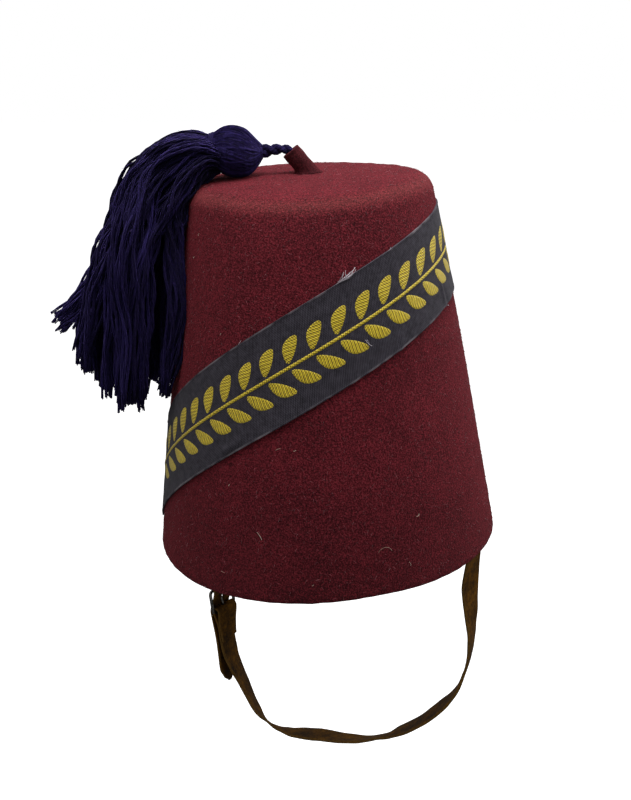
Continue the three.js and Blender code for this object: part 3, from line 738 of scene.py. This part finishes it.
def leatherMaterial():
    # bridle leather, vegetable tanned and waxed, long handled: mottled olive brown, rubbed pale at its edges
    material, tree, surface = newMaterial("bridle_leather_waxed_brown")
    place = addNode(tree, "TexCoord").outputs["Object"]
    grain = addNode(tree, "TexVoronoi", {"Vector": place, "Scale": perMetre(0.9)}, feature="DISTANCE_TO_EDGE")
    cloud = addNode(tree, "TexNoise", {"Vector": place, "Scale": perMetre(9), "Detail": 5, "Roughness": 0.65})
    fine = addNode(tree, "TexNoise", {"Vector": place, "Scale": perMetre(1.4), "Detail": 4, "Roughness": 0.7})
    tone = addNode(tree, "Mix", {0: 0.42, 2: cloud, 3: fine}, data_type="FLOAT")
    stops = [(0.36, "1f1003"), (0.66, "7c510e"), (0.5, "4d3107")]
    ramp = addNode(tree, "ValToRGB", {"Fac": tone}, stops=stops)
    edge = addNode(tree, "Attribute", attribute_name="edge").outputs["Fac"]
    rubbed = addNode(tree, "Math", {0: edge, 1: fine}, operation="MULTIPLY")
    height = addNode(tree, "Mix", {0: 0.5, 2: grain.outputs["Distance"], 3: fine}, data_type="FLOAT")
    colour = addNode(tree, "Mix", {0: rubbed, 6: ramp, 7: linear("7c5e2e")}, data_type="RGBA").outputs[2]
    fillSockets(tree, surface, {
        "Base Color": colour, "Roughness": addNode(tree, "MapRange", {0: cloud, 3: 0.6, 4: 0.8}),
        "IOR": 1.5, "Specular IOR Level": 0.1,
        "Normal": addNode(tree, "Bump", {"Height": height, "Strength": 0.4, "Distance": 0.2 * mm}),
    })
    return material


def turnedAtBuckle(points):  # turned about the buckle's upright line, easing in below it and out above it
    height = points[..., 2]
    share = smooth(*buckle["turnLow"], height) * (1 - smooth(*buckle["turnHigh"], height))
    angle = np.radians(buckle["turn"]) * share * (points[..., 0] < 0)
    x, y = points[..., 0] - buckle["turnX"], points[..., 1]
    turnedX = buckle["turnX"] + x * np.cos(angle) - y * np.sin(angle)
    return np.stack([turnedX, x * np.sin(angle) + y * np.cos(angle), height], -1)


def sewnEnd(side):  # rows inside the wall
    inset = crown["felt"] + strap["wallGap"] + strap["thickness"] / 2
    z = np.array([1, 0.5, 0]) * strap["sewn"]
    return np.stack([side * (wallRadius(z) - inset), z], -1)


def strapSection(slotShare):
    # shares of half width and half thickness round the section: flat faces, parted where the slot goes,
    # and edges rounded as quarter ellipses
    face = np.linspace(slotShare, strap["faceShare"], strap["faceSteps"])
    half = np.concatenate([face, strap["edgeShares"]])
    top = np.concatenate([-half[::-1], half])
    rounding = strap["thickness"] / strap["width"]
    beyond = np.clip(np.abs(top) - 1 + rounding, 0, None) / rounding
    swell = np.sqrt(np.clip(1 - beyond ** 2, 0, 1))
    return np.concatenate([top, top[-2:0:-1]]), np.concatenate([swell, -swell[-2:0:-1]]), len(half)


def slotWalls(index, first, last, right):
    # faces through the strap round a slot from the first row to the last, between the two middle columns
    around, left = index.shape[1], right - 1
    upper, lower = index[:, [left, right]], index[:, [around - left, around - right]]
    a, b = np.arange(first, last), np.arange(first + 1, last + 1)
    ends = [[upper[first, 0], upper[first, 1], lower[first, 1], lower[first, 0]],
            [upper[last, 1], upper[last, 0], lower[last, 0], lower[last, 1]]]
    return np.vstack([np.stack([upper[b, 0], upper[a, 0], lower[a, 0], lower[b, 0]], -1),
                      np.stack([upper[a, 1], upper[b, 1], lower[b, 1], lower[a, 1]], -1), ends])


def strapPiece(name, node, rows, twist, width, slotWidth, inSlot, material):
    # flat section carried along the route, twisted about it, with a slot through the rows that inSlot picks
    route = smoothRoute(rows, strap["perRow"])
    setting = smoothRoute(np.stack([twist, width], -1), strap["perRow"], strap["twistTension"])
    centre = np.stack([route[:, 0], 0 * route[:, 0], route[:, 1]], -1)
    along = unit(np.gradient(centre, axis=0))
    lean = np.radians(setting[:, :1])
    across = np.cos(lean) * yAxis + np.sin(lean) * np.cross(along, yAxis)
    through = np.cross(along, across)
    wide, thick, right = strapSection(slotWidth / strap["width"])
    x, z = centre[:, :1], centre[:, 2:]
    free = (1 - smooth(*strap["buckleFade"], z) * (x < 0)) * (1 - smooth(*strap["wallFade"], z))
    wider, thicker = (1 + (gain - 1) * free for gain in strap["swell"])  # away from the buckle and the wall
    uneven = wider + strap["widthWave"] * lumps(centre, strap["widthWaveSize"], 31)[:, None]
    points = centre[:, None] + across[:, None] * (setting[:, 1:] / 2 * uneven * wide)[..., None]
    uneven = 1 + strap["thickWave"] * lumps(points, strap["thickWaveSize"], 32)
    points = points + through[:, None] * (strap["thickness"] / 2 * thick * thicker * uneven)[..., None]
    quads, row, column = gridQuads(*points.shape[:2], closedColumns=True)
    first, last = np.flatnonzero(inSlot(route))[[0, -1]]
    slotColumn = np.isin(column[:, 0], (right - 1, len(wide) - right))
    gone = (row[:, 0] >= first) & (row[:, 0] < last) & slotColumn
    index = np.arange(points[..., 0].size).reshape(points.shape[:2])
    quads = np.vstack([quads[~gone], slotWalls(index, first, last, right)])
    caps = [index[:1, ::-1], index[-1:]]
    edge = np.broadcast_to(smooth(*strap["rubbed"], np.abs(wide)), points.shape[:2])
    piece = addPiece(name, turnedAtBuckle(points), quads, material, caps, marks={"edge": edge}, sharp=60)
    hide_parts(node)


def buildStraps():
    # long strap: sewn end, loop, half turn round the lower bar, turned-over end; strap end: sewn end to tip
    leather = leatherMaterial()
    heelX, heelZ = buckle["heel"]
    angle = np.linspace(np.pi, 0, buckle["foldSteps"])
    middleX, reach = heelX + buckle["foldSetIn"], buckle["foldRadius"]
    fold = np.stack([middleX + reach * np.cos(angle), heelZ + reach * np.sin(angle)], -1)
    route, sewn = np.array(strapRoute), sewnEnd(1)
    backX, backZ = route[-1, 0] + strap["thickness"] + strap["clearance"], route[-1, 1]
    rows = np.vstack([sewn, route[:, :2], fold, [(backX, backZ), (backX, backZ - buckle["turnedLength"])]])
    twist = np.zeros(len(rows))
    twist[len(sewn):len(sewn) + len(route)] = route[:, 2]

    def inSlot(way):  # round the lower bar, in the later half of the strap
        x, z, later = way[:, 0], way[:, 1], np.arange(len(way)) > len(way) / 2
        inside = (x < heelX + buckle["slotInside"]) & (x > heelX - buckle["slotOutside"])
        return inside & (z > heelZ - buckle["slotBelow"]) & later

    def inHole(way):  # within the length of the punched hole
        return np.abs(way[:, 1] - buckle["holeZ"]) < buckle["holeLength"] / 2

    width = np.full(len(rows), strap["width"])
    strapPiece("chin_strap", "strap_long", rows, twist, width, buckle["slotWidth"], inSlot, leather)
    billet, sewn = np.array(billetRoute), sewnEnd(-1)
    rows = np.vstack([sewn, billet[:, :2]])
    width = np.concatenate([np.full(len(sewn), strap["width"]), billet[:, 2]])
    strapPiece("strap_end", "strap_billet", rows, 0 * width, width, buckle["holeWidth"], inHole, leather)


def steelMaterial():
    # bent steel wire, nickel plated and dulled: grey metal with darker handled patches
    material, tree, surface = newMaterial("nickel_plated_wire_dulled")
    place = addNode(tree, "TexCoord").outputs["Object"]
    patch = addNode(tree, "TexNoise", {"Vector": place, "Scale": perMetre(3), "Detail": 4, "Roughness": 0.6})
    fillSockets(tree, surface, {
        "Base Color": addNode(tree, "ValToRGB", {"Fac": patch}, stops=[(0.38, "2c2a27"), (0.62, "8f8c87")]),
        "Metallic": 1.0, "Roughness": addNode(tree, "MapRange", {0: patch, 3: 0.42, 4: 0.2}),
    })
    return material


def buildFrame(steel, heel, front):
    # round wire along a rectangle with round corners, in the leaning plane through its two bars
    height = np.linalg.norm(front - heel)
    up = (front - heel) / height
    quarter = np.linspace(0, np.pi / 2, buckle["cornerSteps"])
    angle = (quarter + np.arange(4)[:, None] * np.pi / 2).ravel()[:, None]
    outward = np.cos(angle) * yAxis + np.sin(angle) * up
    reach, corner = buckle["halfWidth"] - buckle["corner"], buckle["corner"]
    high = height - corner
    middles = np.array([(reach, high), (-reach, high), (-reach, corner), (reach, corner)])
    middles = np.repeat(middles, len(quarter), 0)
    centre = heel + middles[:, :1] * yAxis + middles[:, 1:] * up + corner * outward
    q = circle(buckle["wireSides"])[:, None]
    ring = np.cos(q) * outward[:, None] + np.sin(q) * np.cross(up, yAxis)
    points = centre[:, None] + buckle["wire"] * ring
    quads = gridQuads(*points.shape[:2], closedRows=True, closedColumns=True)[0]
    piece = addPiece("buckle_wire", turnedAtBuckle(points), quads, steel)
    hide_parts("buckle_frame")


def buildPin(steel, heel, front):
    # a flat ring round the lower bar and a tapered pin through the hole to the upper bar's outer side
    tilt = np.arctan2(front[2] - heel[2], heel[0] - front[0])
    off = buckle["wire"] + strap["clearance"] + buckle["pin"]
    resting = front + off * np.array([-np.sin(tilt), 0, -np.cos(tilt)])
    tip = resting + buckle["pinOverlap"] * np.array([-np.cos(tilt), 0, np.sin(tilt)])
    ringMiddle, ringHalf = ((buckle["ringOuter"] + side * buckle["ringInner"]) / 2 for side in (1, -1))
    path = smoothRoute([heel + np.array([0, 0, ringMiddle]), resting, tip], buckle["pinSteps"])[None]
    thin = buckle["pin"] * (1 - buckle["pinTaper"] * np.linspace(0, 1, path.shape[1]) ** 4)
    sides = buckle["pinSides"]
    pin = tubeRings(path, thin, yAxis, sides)
    q, a = circle(buckle["ringSides"]), circle(buckle["ringSteps"])[:, None]
    radius = ringMiddle + ringHalf * np.cos(q)
    wide = buckle["ringWidth"] / 2 * np.sign(np.sin(q)) * np.abs(np.sin(q)) ** buckle["ringSquare"]
    band = np.stack([heel[0] + radius * np.cos(a), wide + 0 * a, heel[2] + radius * np.sin(a)], -1)
    count = pin.shape[1] * sides
    pinQuads = gridQuads(pin.shape[1], sides, closedColumns=True)[0]
    bandQuads = gridQuads(*band.shape[:2], closedRows=True, closedColumns=True)[0][:, ::-1] + count
    caps = [np.arange(sides)[None, ::-1], np.arange(count - sides, count)[None]]
    points = turnedAtBuckle(np.vstack([pin.reshape(-1, 3), band.reshape(-1, 3)]))
    piece = addPiece("buckle_pin", points, np.vstack([pinQuads, bandQuads]), steel, caps)
    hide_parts("buckle_prong")


def buildBuckle():  # both pieces lie about the lower bar, the heel, and the upper bar, the front
    steel = steelMaterial()
    heel, front = (np.array([x, 0, z]) for x, z in (buckle["heel"], buckle["front"]))
    buildFrame(steel, heel, front)
    buildPin(steel, heel, front)


buildStraps()
buildBuckle()
print("strap and buckle made")


# Stalk, cord and tassel, drawn leaning towards +X and turned to the tassel's side

tasselTurn = 210


def yarnMaterial(name, tones, pitch):
    # loosely spun wool yarn, dyed navy: matt, fuzzy, each strand a little lighter or darker than the next; on
    # the skirt its tone also carries painted shade and painted light
    material, tree, surface = newMaterial(name)
    weave = addNode(tree, "UVMap", uv_map="weave")
    place = addNode(tree, "TexCoord").outputs["Object"]
    tone = addNode(tree, "Attribute", attribute_name="tone").outputs["Fac"]
    fuzz = addNode(tree, "TexNoise", {"Vector": place, "Scale": perMetre(1.0), "Detail": 3, "Roughness": 0.6})
    slant = addNode(tree, "VectorMath", {0: weave, 1: (2, 1 / pitch, 0)}, operation="DOT_PRODUCT")
    plies = addNode(tree, "TexWave", {"Vector": slant.outputs["Value"], "Scale": oneBand, "Distortion": 0.8})
    spun = addNode(tree, "Mix", {0: 0.2, 2: fuzz, 3: plies.outputs["Fac"]}, data_type="FLOAT")
    mixed = addNode(tree, "Mix", {0: 0.5, 2: tone, 3: spun}, data_type="FLOAT")
    fillSockets(tree, surface, {
        "Base Color": addNode(tree, "ValToRGB", {"Fac": mixed}, stops=tones),
        "Roughness": 0.9, "Specular IOR Level": 0.1,
        "Sheen Weight": 0.08, "Sheen Roughness": 0.45, "Sheen Tint": linear("7468b4"),
        "Subsurface Weight": 0.35, "Subsurface Radius": (1, 1, 1), "Subsurface Scale": 1.2 * mm,  # loose wool
        "Normal": addNode(tree, "Bump", {"Height": spun, "Strength": 0.7, "Distance": 0.35 * mm}),
    })
    return material


navyTones = [(0.2, "080516"), (0.8, "30275f"), (0.5, "1a1338")]
yarnNavy = yarnMaterial("wool_yarn_spun_navy", navyTones, 3.2)


stalk = dict(
    length=14.3, lean=36.9, baseRadius=4.9, tipRadius=4.8, flare=0.8, flareShare=0.07, lap=0.45, lapStart=2.2,
    lapEase=0.25, bore=2.5, boreRound=0.25, footLift=0.1, lumpHeight=0.1, lumpSize=5, around=64, rows=26,
    tipRound=((0.985, 0.05), (0.995, 0.18), (1.0, 0.45)), boreRows=((0.985, 1), (0.75, 1), (0.55, 0.9)),
)


def buildStalk():
    # roll: radius grows a lap's thickness over a turn, flares at the foot, turns in to a bore at the cut end
    lean = np.radians(stalk["lean"])
    axis, front = np.array([np.sin(lean), 0, np.cos(lean)]), np.array([np.cos(lean), 0, -np.sin(lean)])
    turn = circle(stalk["around"])
    fromLap = (turn + stalk["lapStart"]) % (2 * np.pi)
    lap = stalk["lap"] * (fromLap / (2 * np.pi) - 0.5) * smooth(0, stalk["lapEase"], fromLap)
    tipShare, tipIn = np.array(stalk["tipRound"]).T
    share = np.concatenate([np.linspace(0, 0.97, stalk["rows"]), tipShare])
    radius = stalk["baseRadius"] + (stalk["tipRadius"] - stalk["baseRadius"]) * share
    radius = radius + stalk["flare"] * np.exp(-share / stalk["flareShare"])
    radius[-len(tipIn):] -= tipIn
    boreShare, boreSize = np.array(stalk["boreRows"]).T
    share = np.concatenate([share, [1.0], boreShare])
    radius = np.concatenate([radius, [stalk["bore"] + stalk["boreRound"]], stalk["bore"] * boreSize])
    radius = radius[:, None] + lap * smooth(stalk["bore"], stalk["tipRadius"], radius)[:, None]
    foot = (stalk["footLift"] + radius * np.sin(lean) * np.cos(turn)) / np.cos(lean)  # where it meets the top
    along = foot + (stalk["length"] - foot) * share[:, None]
    ring = np.cos(turn)[:, None] * front + np.sin(turn)[:, None] * yAxis
    top = np.array([0, 0, crown["height"] + crown["dome"]])
    points = top + along[..., None] * axis + radius[..., None] * ring
    points = points + ring * (stalk["lumpHeight"] * lumps(points, stalk["lumpSize"], 41))[..., None]
    felt = feltMaterial("wool_felt_rolled_maroon", [(0.34, "1c0608"), (0.66, "521c22"), (0.5, "380f15")], 1.0)
    piece = loftPieces("stalk_roll", turned(points, tasselTurn)[None], felt)
    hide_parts("stalk")


cord = dict(
    radius=1.5, growth=0.7, twists=1.9, plies=2, yarns=4, plyOff=0.55, yarnOff=0.42, yarnRadius=0.5,
    perRow=14, sides=8, tones=(0.25, 0.7),
)
cordRoute = [  # x, z in mm from the stalk's bore to the tassel's head
    (4.9, 201.5), (7.2, 204.5), (9.3, 206.7), (12.2, 207.4), (15.6, 207.4), (19, 207.1), (22.1, 206.9),
]


def buildCord():
    # plies turn about the route, and yarns turn about each ply
    route = smoothRoute(cordRoute, cord["perRow"])
    centre = np.stack([route[:, 0], 0 * route[:, 0], route[:, 1]], -1)
    share = np.linspace(0, 1, len(centre))
    along = unit(np.gradient(centre, axis=0))
    up = np.cross(along, yAxis)
    size = cord["radius"] * (1 + cord["growth"] * share**2)

    def about(angle):  # one cord radius out from the route at an angle
        return size[:, None] * (np.cos(angle) * yAxis + np.sin(angle) * up)

    paths = []
    for ply in range(cord["plies"]):
        turn = 2 * np.pi * (cord["twists"] * share + ply / cord["plies"])[:, None]
        for yarn in range(cord["yarns"]):
            spin = -2 * turn + 2 * np.pi * yarn / cord["yarns"]
            paths.append(centre + cord["plyOff"] * about(turn) + cord["yarnOff"] * about(spin))
    rings = tubeRings(np.array(paths), cord["yarnRadius"] * size, yAxis, cord["sides"])
    tone = np.random.default_rng(5).uniform(*cord["tones"], len(paths))[:, None, None]
    piece = loftPieces("neck_cord", turned(rings, tasselTurn), yarnNavy, (1, 22), {"tone": tone})
    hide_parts("tassel_cord")


def clearOfCrown(points, gap):  # moved straight out of the crown where they come nearer to it than the gap
    radius = np.linalg.norm(points[..., :2], axis=-1)
    height = points[..., 2]
    overX, overZ = radius - cornerX, height - cornerZ
    bend = np.hypot(overX, overZ)
    inBend, onTop = (overX > 0) & (overZ > 0), (overX <= 0) & (overZ > 0)
    bendPush = np.clip(crown["corner"] + gap - bend, 0, None) / np.maximum(bend, 1e-6)
    wallPush = np.clip(wallRadius(height) + gap - radius, 0, None)
    dome = crown["height"] + crown["dome"] * (1 - np.clip(radius / cornerX, 0, 1) ** 2)
    topPush = np.clip(dome + gap - height, 0, None)
    outward = np.where(inBend, bendPush * overX, np.where(onTop, 0, wallPush))
    upward = np.where(inBend, bendPush * overZ, np.where(onTop, topPush, 0))
    moved = points[..., :2] * (1 + outward / np.maximum(radius, 1e-6))[..., None]
    return np.concatenate([moved, (height + upward)[..., None]], -1)


head = dict(
    yarns=190, breadth=1.08, core=0.93, yarnsAt=0.95, sunk=(-0.7, 0.5), drift=0.2, twist=0.35, crownGap=1.0,
    unequal=0.05, driftWaves=(0.4, 1.0), yarnRadius=0.26, yarnGrowth=0.3, fullRadius=13.4,
    thickRange=(0.85, 1.15), tones=(0.25, 1.0), yarnSide=(0.05, 0.6, 0.8), perRow=3, coreSides=48, sides=4,
    wraps=3, perWrap=40, bandX=47, bandWidth=2.2, bandZ=208, bandWave=0.25, bandWaves=3.1, bandOff=0.1,
    bandRadius=0.6, bandSides=6,
)
headProfile = [  # x, z and radius in mm of the head from its neck to its waist
    (22.6, 206.8, 3.2), (24.4, 206.4, 5.4), (26, 206.2, 7.3), (28.3, 206.3, 9.8), (30.6, 206.7, 11.7),
    (33.4, 207.2, 12.7), (37.6, 207.7, 13.1), (40.6, 207.9, 12.4), (43.4, 208, 11.1), (46, 208, 9.6),
    (48.4, 208, 8.7), (51, 207.6, 8.3),
]


def buildHead():
    # yarns drawn from the neck over a core to the waist, bound there with turns of the same yarn
    draw = np.random.default_rng(8)
    x, z, radius = smoothRoute(headProfile, head["perRow"]).T

    def about(x, z, reach, angle):  # a little broader than it is high
        sideways = head["breadth"] * reach * np.cos(angle)
        return np.stack([x + 0 * angle, sideways, z + reach * np.sin(angle)], -1)

    core = about(x[:, None], z[:, None], head["core"] * radius[:, None], circle(head["coreSides"]))
    piece = loftPieces("tassel_core", turned(core, tasselTurn)[None], yarnNavy, (20, 30), {"tone": 0.2})
    count = head["yarns"]
    share = np.linspace(0, 1, len(x))
    angle = circle(count) + draw.normal(0, head["unequal"], count)
    waves = share * draw.uniform(*head["driftWaves"], (count, 1)) + draw.uniform(0, 1, (count, 1))
    drift = head["drift"] * np.sin(2 * np.pi * waves) * np.sin(np.pi * share)
    angle = angle[:, None] + drift + head["twist"] * share
    sunk = draw.uniform(*head["sunk"], (count, 1)) * np.sin(np.pi * share) ** 0.5
    paths = clearOfCrown(about(x, z, head["yarnsAt"] * radius + sunk, angle), head["crownGap"])
    thick = head["yarnRadius"] + head["yarnGrowth"] * np.clip(radius / head["fullRadius"], 0, 1)
    thick = thick * draw.uniform(*head["thickRange"], (count, 1))
    rings = tubeRings(paths, thick, np.array(head["yarnSide"]), head["sides"])
    tone = draw.uniform(*head["tones"], (count, 1, 1))
    piece = loftPieces("tassel_head", turned(rings, tasselTurn), yarnNavy, (1, 34), {"tone": tone})
    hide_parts("tassel")
    wind = np.linspace(0, 1, head["wraps"] * head["perWrap"])
    spin = 2 * np.pi * head["wraps"] * wind
    bandX = head["bandX"] + head["bandWidth"] * wind + head["bandWave"] * np.sin(head["bandWaves"] * spin)
    band = about(bandX, head["bandZ"], np.interp(bandX, x, radius) + head["bandOff"], spin)[None]
    rings = tubeRings(band, head["bandRadius"], np.array([1.0, 0, 0]), head["bandSides"])
    piece = loftPieces("tassel_binding", turned(rings, tasselTurn), yarnNavy, (1, 300), {"tone": 0.45})


skirtLayers = [  # outside in: root, crest, fall and tip as x and z, half spread, a lock's half thickness, and a tone offset of painted shade, darkest for the inner layers in the crown's shadow
    dict(root=(47.5, 208.5), crest=(73, 224.5), fall=(88, 177), tip=(136, 131),
         locks=2, bundles=5, spread=12, girth=5.2, paintedShade=-0.06),
    dict(root=(47.5, 208.3), crest=(74, 227), fall=(105, 179.5), tip=(123.5, 109),
         locks=4, bundles=10, spread=24, girth=6.8, paintedShade=-0.1),
    dict(root=(47.5, 207), crest=(73.5, 223.5), fall=(103, 178), tip=(112, 91),
         locks=4, bundles=12, spread=30, girth=8.6, paintedShade=-0.04),
    dict(root=(47.5, 205), crest=(67, 212), fall=(89, 174), tip=(99.5, 85),
         locks=4, bundles=12, spread=29, girth=8.6, paintedShade=0.02),
    dict(root=(47.5, 202.5), crest=(62, 205), fall=(76.5, 178), tip=(83.5, 91),
         locks=4, bundles=9, spread=27, girth=4.4, paintedShade=-0.3),
    dict(root=(45, 200), crest=(57, 197), fall=(72, 187), tip=(80, 100),
         locks=3, bundles=4, spread=19, girth=2.8, paintedShade=-0.3),
]
skirt = dict(
    rootSpread=0.24, crestSpread=0.6, breadth=1.15, ragged=(4.5, 2.4, 7.2), crownGap=0.9,
    rootGirth=0.62, fullGirthAt=0.3, tipThinner=0.42, thinnerFrom=0.6, girthInset=0.6,
    lockSway=(3.2, 0.7, 1.6), bundleSway=(1.8, 1.2, 3.0), crimp=(0.7, 4, 8),  # size, fewest and most waves
    swayRise=(0.14, 0.5), bundleTurn=2.4, anyTurn=(0, 6.3), bundleTwist=(-3, 3),
    lockTie=(0.35, 0.1, 0.3, 0.65), bundleTie=(0.4, 0.12, 0.25, 0.7),  # depth, width, first and last place
    tipBlend=0.55, tipScatter=(3.0, 1.0, 0.3), scatterFrom=0.55, tipPinch=0.3, pinchFrom=0.8,
    yarns=4, yarnApart=1.75, yarnReach=(0.7, 1.2), plies=3, plyRadius=0.44, plyReach=(0.85, 1.2),
    plyTwist=5, twistRange=(0.8, 1.2), thickRange=(0.85, 1.15), steps=40, sides=3,
    tones=(0.55, 0.3, 0.15), paler=0.5, darkest=-0.3,
    hairs=5000, hairLength=(1.0, 3.4), hairRadius=0.09, hairStray=0.9, hairFrom=4, hairTones=(0.2, 1.0),
)


def lockCurves(layer, share):
    # (1-t)^3 root + 3t(1-t)^2 crest + 3t^2(1-t) fall + t^3 tip for each lock of a fan, and its directions
    fan = np.linspace(-1, 1, layer["locks"])
    height, byLayer, byPlace = skirt["ragged"]
    ragged = height * np.sin(byLayer * layer["tip"][0] + byPlace * fan)
    rows = [("root", skirt["rootSpread"], 0), ("crest", skirt["crestSpread"], 0),
            ("fall", 1, 0), ("tip", 1, ragged)]
    p0, p1, p2, p3 = (np.stack([layer[row][0] + 0 * fan, spread * (layer["spread"] * fan),
                                layer[row][1] + drop + 0 * fan], -1)[:, None] for row, spread, drop in rows)
    t = share[None, :, None]
    middle = (1 - t) ** 3 * p0 + 3 * t * (1 - t) ** 2 * p1 + 3 * t**2 * (1 - t) * p2 + t**3 * p3
    along = unit(np.gradient(middle, axis=1))
    out = -unit(np.cross(yAxis, along))
    return middle, along, out, np.cross(out, along)


def skirtYarns(layer, inward, share, draw):
    # lock curve + bundle's place in the lock + yarn's place in the bundle + ply's turn about the yarn
    locks, bundles, yarns, plies = layer["locks"], layer["bundles"], skirt["yarns"], skirt["plies"]
    perLock, perBundle = (locks, 1, 1, 1, 1), (locks, bundles, 1, 1, 1)
    perYarn, perPly = (locks, bundles, yarns, 1, 1), (locks, bundles, yarns, plies, 1)
    middle, along, out, across = lockCurves(layer, share)

    def around(angle, reach):  # outward and sideways parts of a turn about the middle
        return reach * np.cos(angle), reach * np.sin(angle)

    def tied(tie, count):  # drawn in at one random place
        depth, width, low, high = tie
        return 1 - depth * bell((share - draw.uniform(low, high, count)) / width)

    def sway():  # waves of the lock, the bundle and the yarn on the way to the tip, none at the waist
        total = 0
        for (size, low, high), count in zip((skirt["lockSway"], skirt["bundleSway"], skirt["crimp"]),
                                            (perLock, perBundle, perYarn)):
            waves = share * draw.uniform(low, high, count) + draw.uniform(0, 1, count)
            total = total + size * smooth(*skirt["swayRise"], share) * np.sin(2 * np.pi * waves)
        return total

    full = smooth(0, skirt["fullGirthAt"], share)
    girth = layer["girth"] * (skirt["rootGirth"] + (1 - skirt["rootGirth"]) * full)
    girth = girth * (1 - skirt["tipThinner"] * smooth(skirt["thinnerFrom"], 1, share))
    girth = girth - skirt["yarnApart"] * skirt["girthInset"]
    place = np.arange(bundles)[:, None, None, None]
    bound = tied(skirt["lockTie"], perLock)
    bundleOut, bundleAside = around(skirt["bundleTurn"] * place + draw.uniform(*skirt["anyTurn"], perLock),
                                    np.sqrt((place + 0.5) / bundles) * girth * bound)
    pinch = tied(skirt["bundleTie"], perBundle) - skirt["tipPinch"] * smooth(skirt["pinchFrom"], 1, share)
    turn = circle(yarns)[:, None, None] + draw.uniform(*skirt["bundleTwist"], perBundle) * share
    yarnOut, yarnAside = around(turn + draw.uniform(*skirt["anyTurn"], perBundle),
                                skirt["yarnApart"] * pinch * draw.uniform(*skirt["yarnReach"], perYarn))
    twist = skirt["plyTwist"] * draw.uniform(*skirt["twistRange"], perYarn) * share
    plyOut, plyAside = around(2 * np.pi * (np.arange(plies)[:, None] / plies + twist),
                              skirt["plyRadius"] * draw.uniform(*skirt["plyReach"], perPly))
    offOut = bundleOut + yarnOut + plyOut + sway()
    offAside = skirt["breadth"] * bundleAside + yarnAside + plyAside + sway()
    levels = (perBundle, perYarn, perPly)
    longer = sum(draw.normal(0, size, count) for size, count in zip(skirt["tipScatter"], levels))
    ways = ((out, offOut), (across, offAside), (along, longer * smooth(skirt["scatterFrom"], 1, share)))
    paths = sum(way[:, None, None, None] * size[..., None] for way, size in ways)
    paths = paths + middle[:, None, None, None]
    lower = np.array([inward["tip"][0] - layer["tip"][0], 0, inward["tip"][1] - layer["tip"][1]])
    paths = paths + (draw.uniform(0, skirt["tipBlend"], perBundle) * share**3)[..., None] * lower
    wrap = paths[..., 1] / paths[..., 0]  # the fan lies round the crown, not flat beside it
    paths = np.stack([paths[..., 0] * np.cos(wrap), paths[..., 0] * np.sin(wrap), paths[..., 2]], -1)
    tone = sum(draw.uniform(0, size, count) for size, count in zip(skirt["tones"], levels))
    paths = clearOfCrown(paths.reshape(-1, skirt["steps"], 3), skirt["crownGap"])
    # the layer's offset is painted shade
    return paths, (tone + layer["paintedShade"]).ravel()


def buildSkirt():
    # tubes along the plies of all layers, a layer's tips partly drawn in to the next one, and loose hairs
    draw = np.random.default_rng(23)
    share = np.linspace(0, 1, skirt["steps"])
    nextLayers = skirtLayers[1:4] + skirtLayers[3:]
    made = [skirtYarns(layer, inward, share, draw) for layer, inward in zip(skirtLayers, nextLayers)]
    paintedLightAlong = skirt["paler"] * np.maximum(share - 0.5, skirt["darkest"])  # painted light and shade: tips paler where they catch the light, roots darker
    for name, part in (("outer", made[:2]), ("middle", made[2:3]), ("inner", made[3:4]), ("under", made[4:])):
        paths, tone = (np.concatenate(rows) for rows in zip(*part))
        radii = skirt["plyRadius"] * draw.uniform(*skirt["thickRange"], (len(paths), 1))
        radii = radii * (1 - 0.2 * smooth(0.95, 1, share))
        rings = turned(tubeRings(paths, radii, yAxis + 0.01, skirt["sides"]), tasselTurn)
        marks = {"tone": tone[:, None, None] + paintedLightAlong[:, None]}
        piece = loftPieces("tassel_skirt_" + name, rings, yarnNavy, (1, 165), marks, 180)
        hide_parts("tassel")
        print("tassel_skirt_" + name, "has", len(paths), "plies")
    # straight hairs that stand off random places of the plies
    paths = np.concatenate([paths for paths, tone in made])
    count = skirt["hairs"]
    body = draw.integers(0, len(paths), count)
    step = draw.integers(skirt["hairFrom"], skirt["steps"] - 1, count)
    base = paths[body, step]
    way = unit(unit(paths[body, step + 1] - base) + skirt["hairStray"] * unit(draw.normal(size=base.shape)))
    hairs = np.stack([base, base + draw.uniform(*skirt["hairLength"], (count, 1)) * way], 1)
    rings = tubeRings(clearOfCrown(hairs, skirt["crownGap"]), skirt["hairRadius"], hairSide, 3)
    tone = draw.uniform(*skirt["hairTones"], count)[:, None, None]
    piece = loftPieces("tassel_fuzz", turned(rings, tasselTurn), yarnNavy, (1, 3), {"tone": tone}, 180)


buildStalk()
buildCord()
buildHead()
buildSkirt()
print("tassel made")
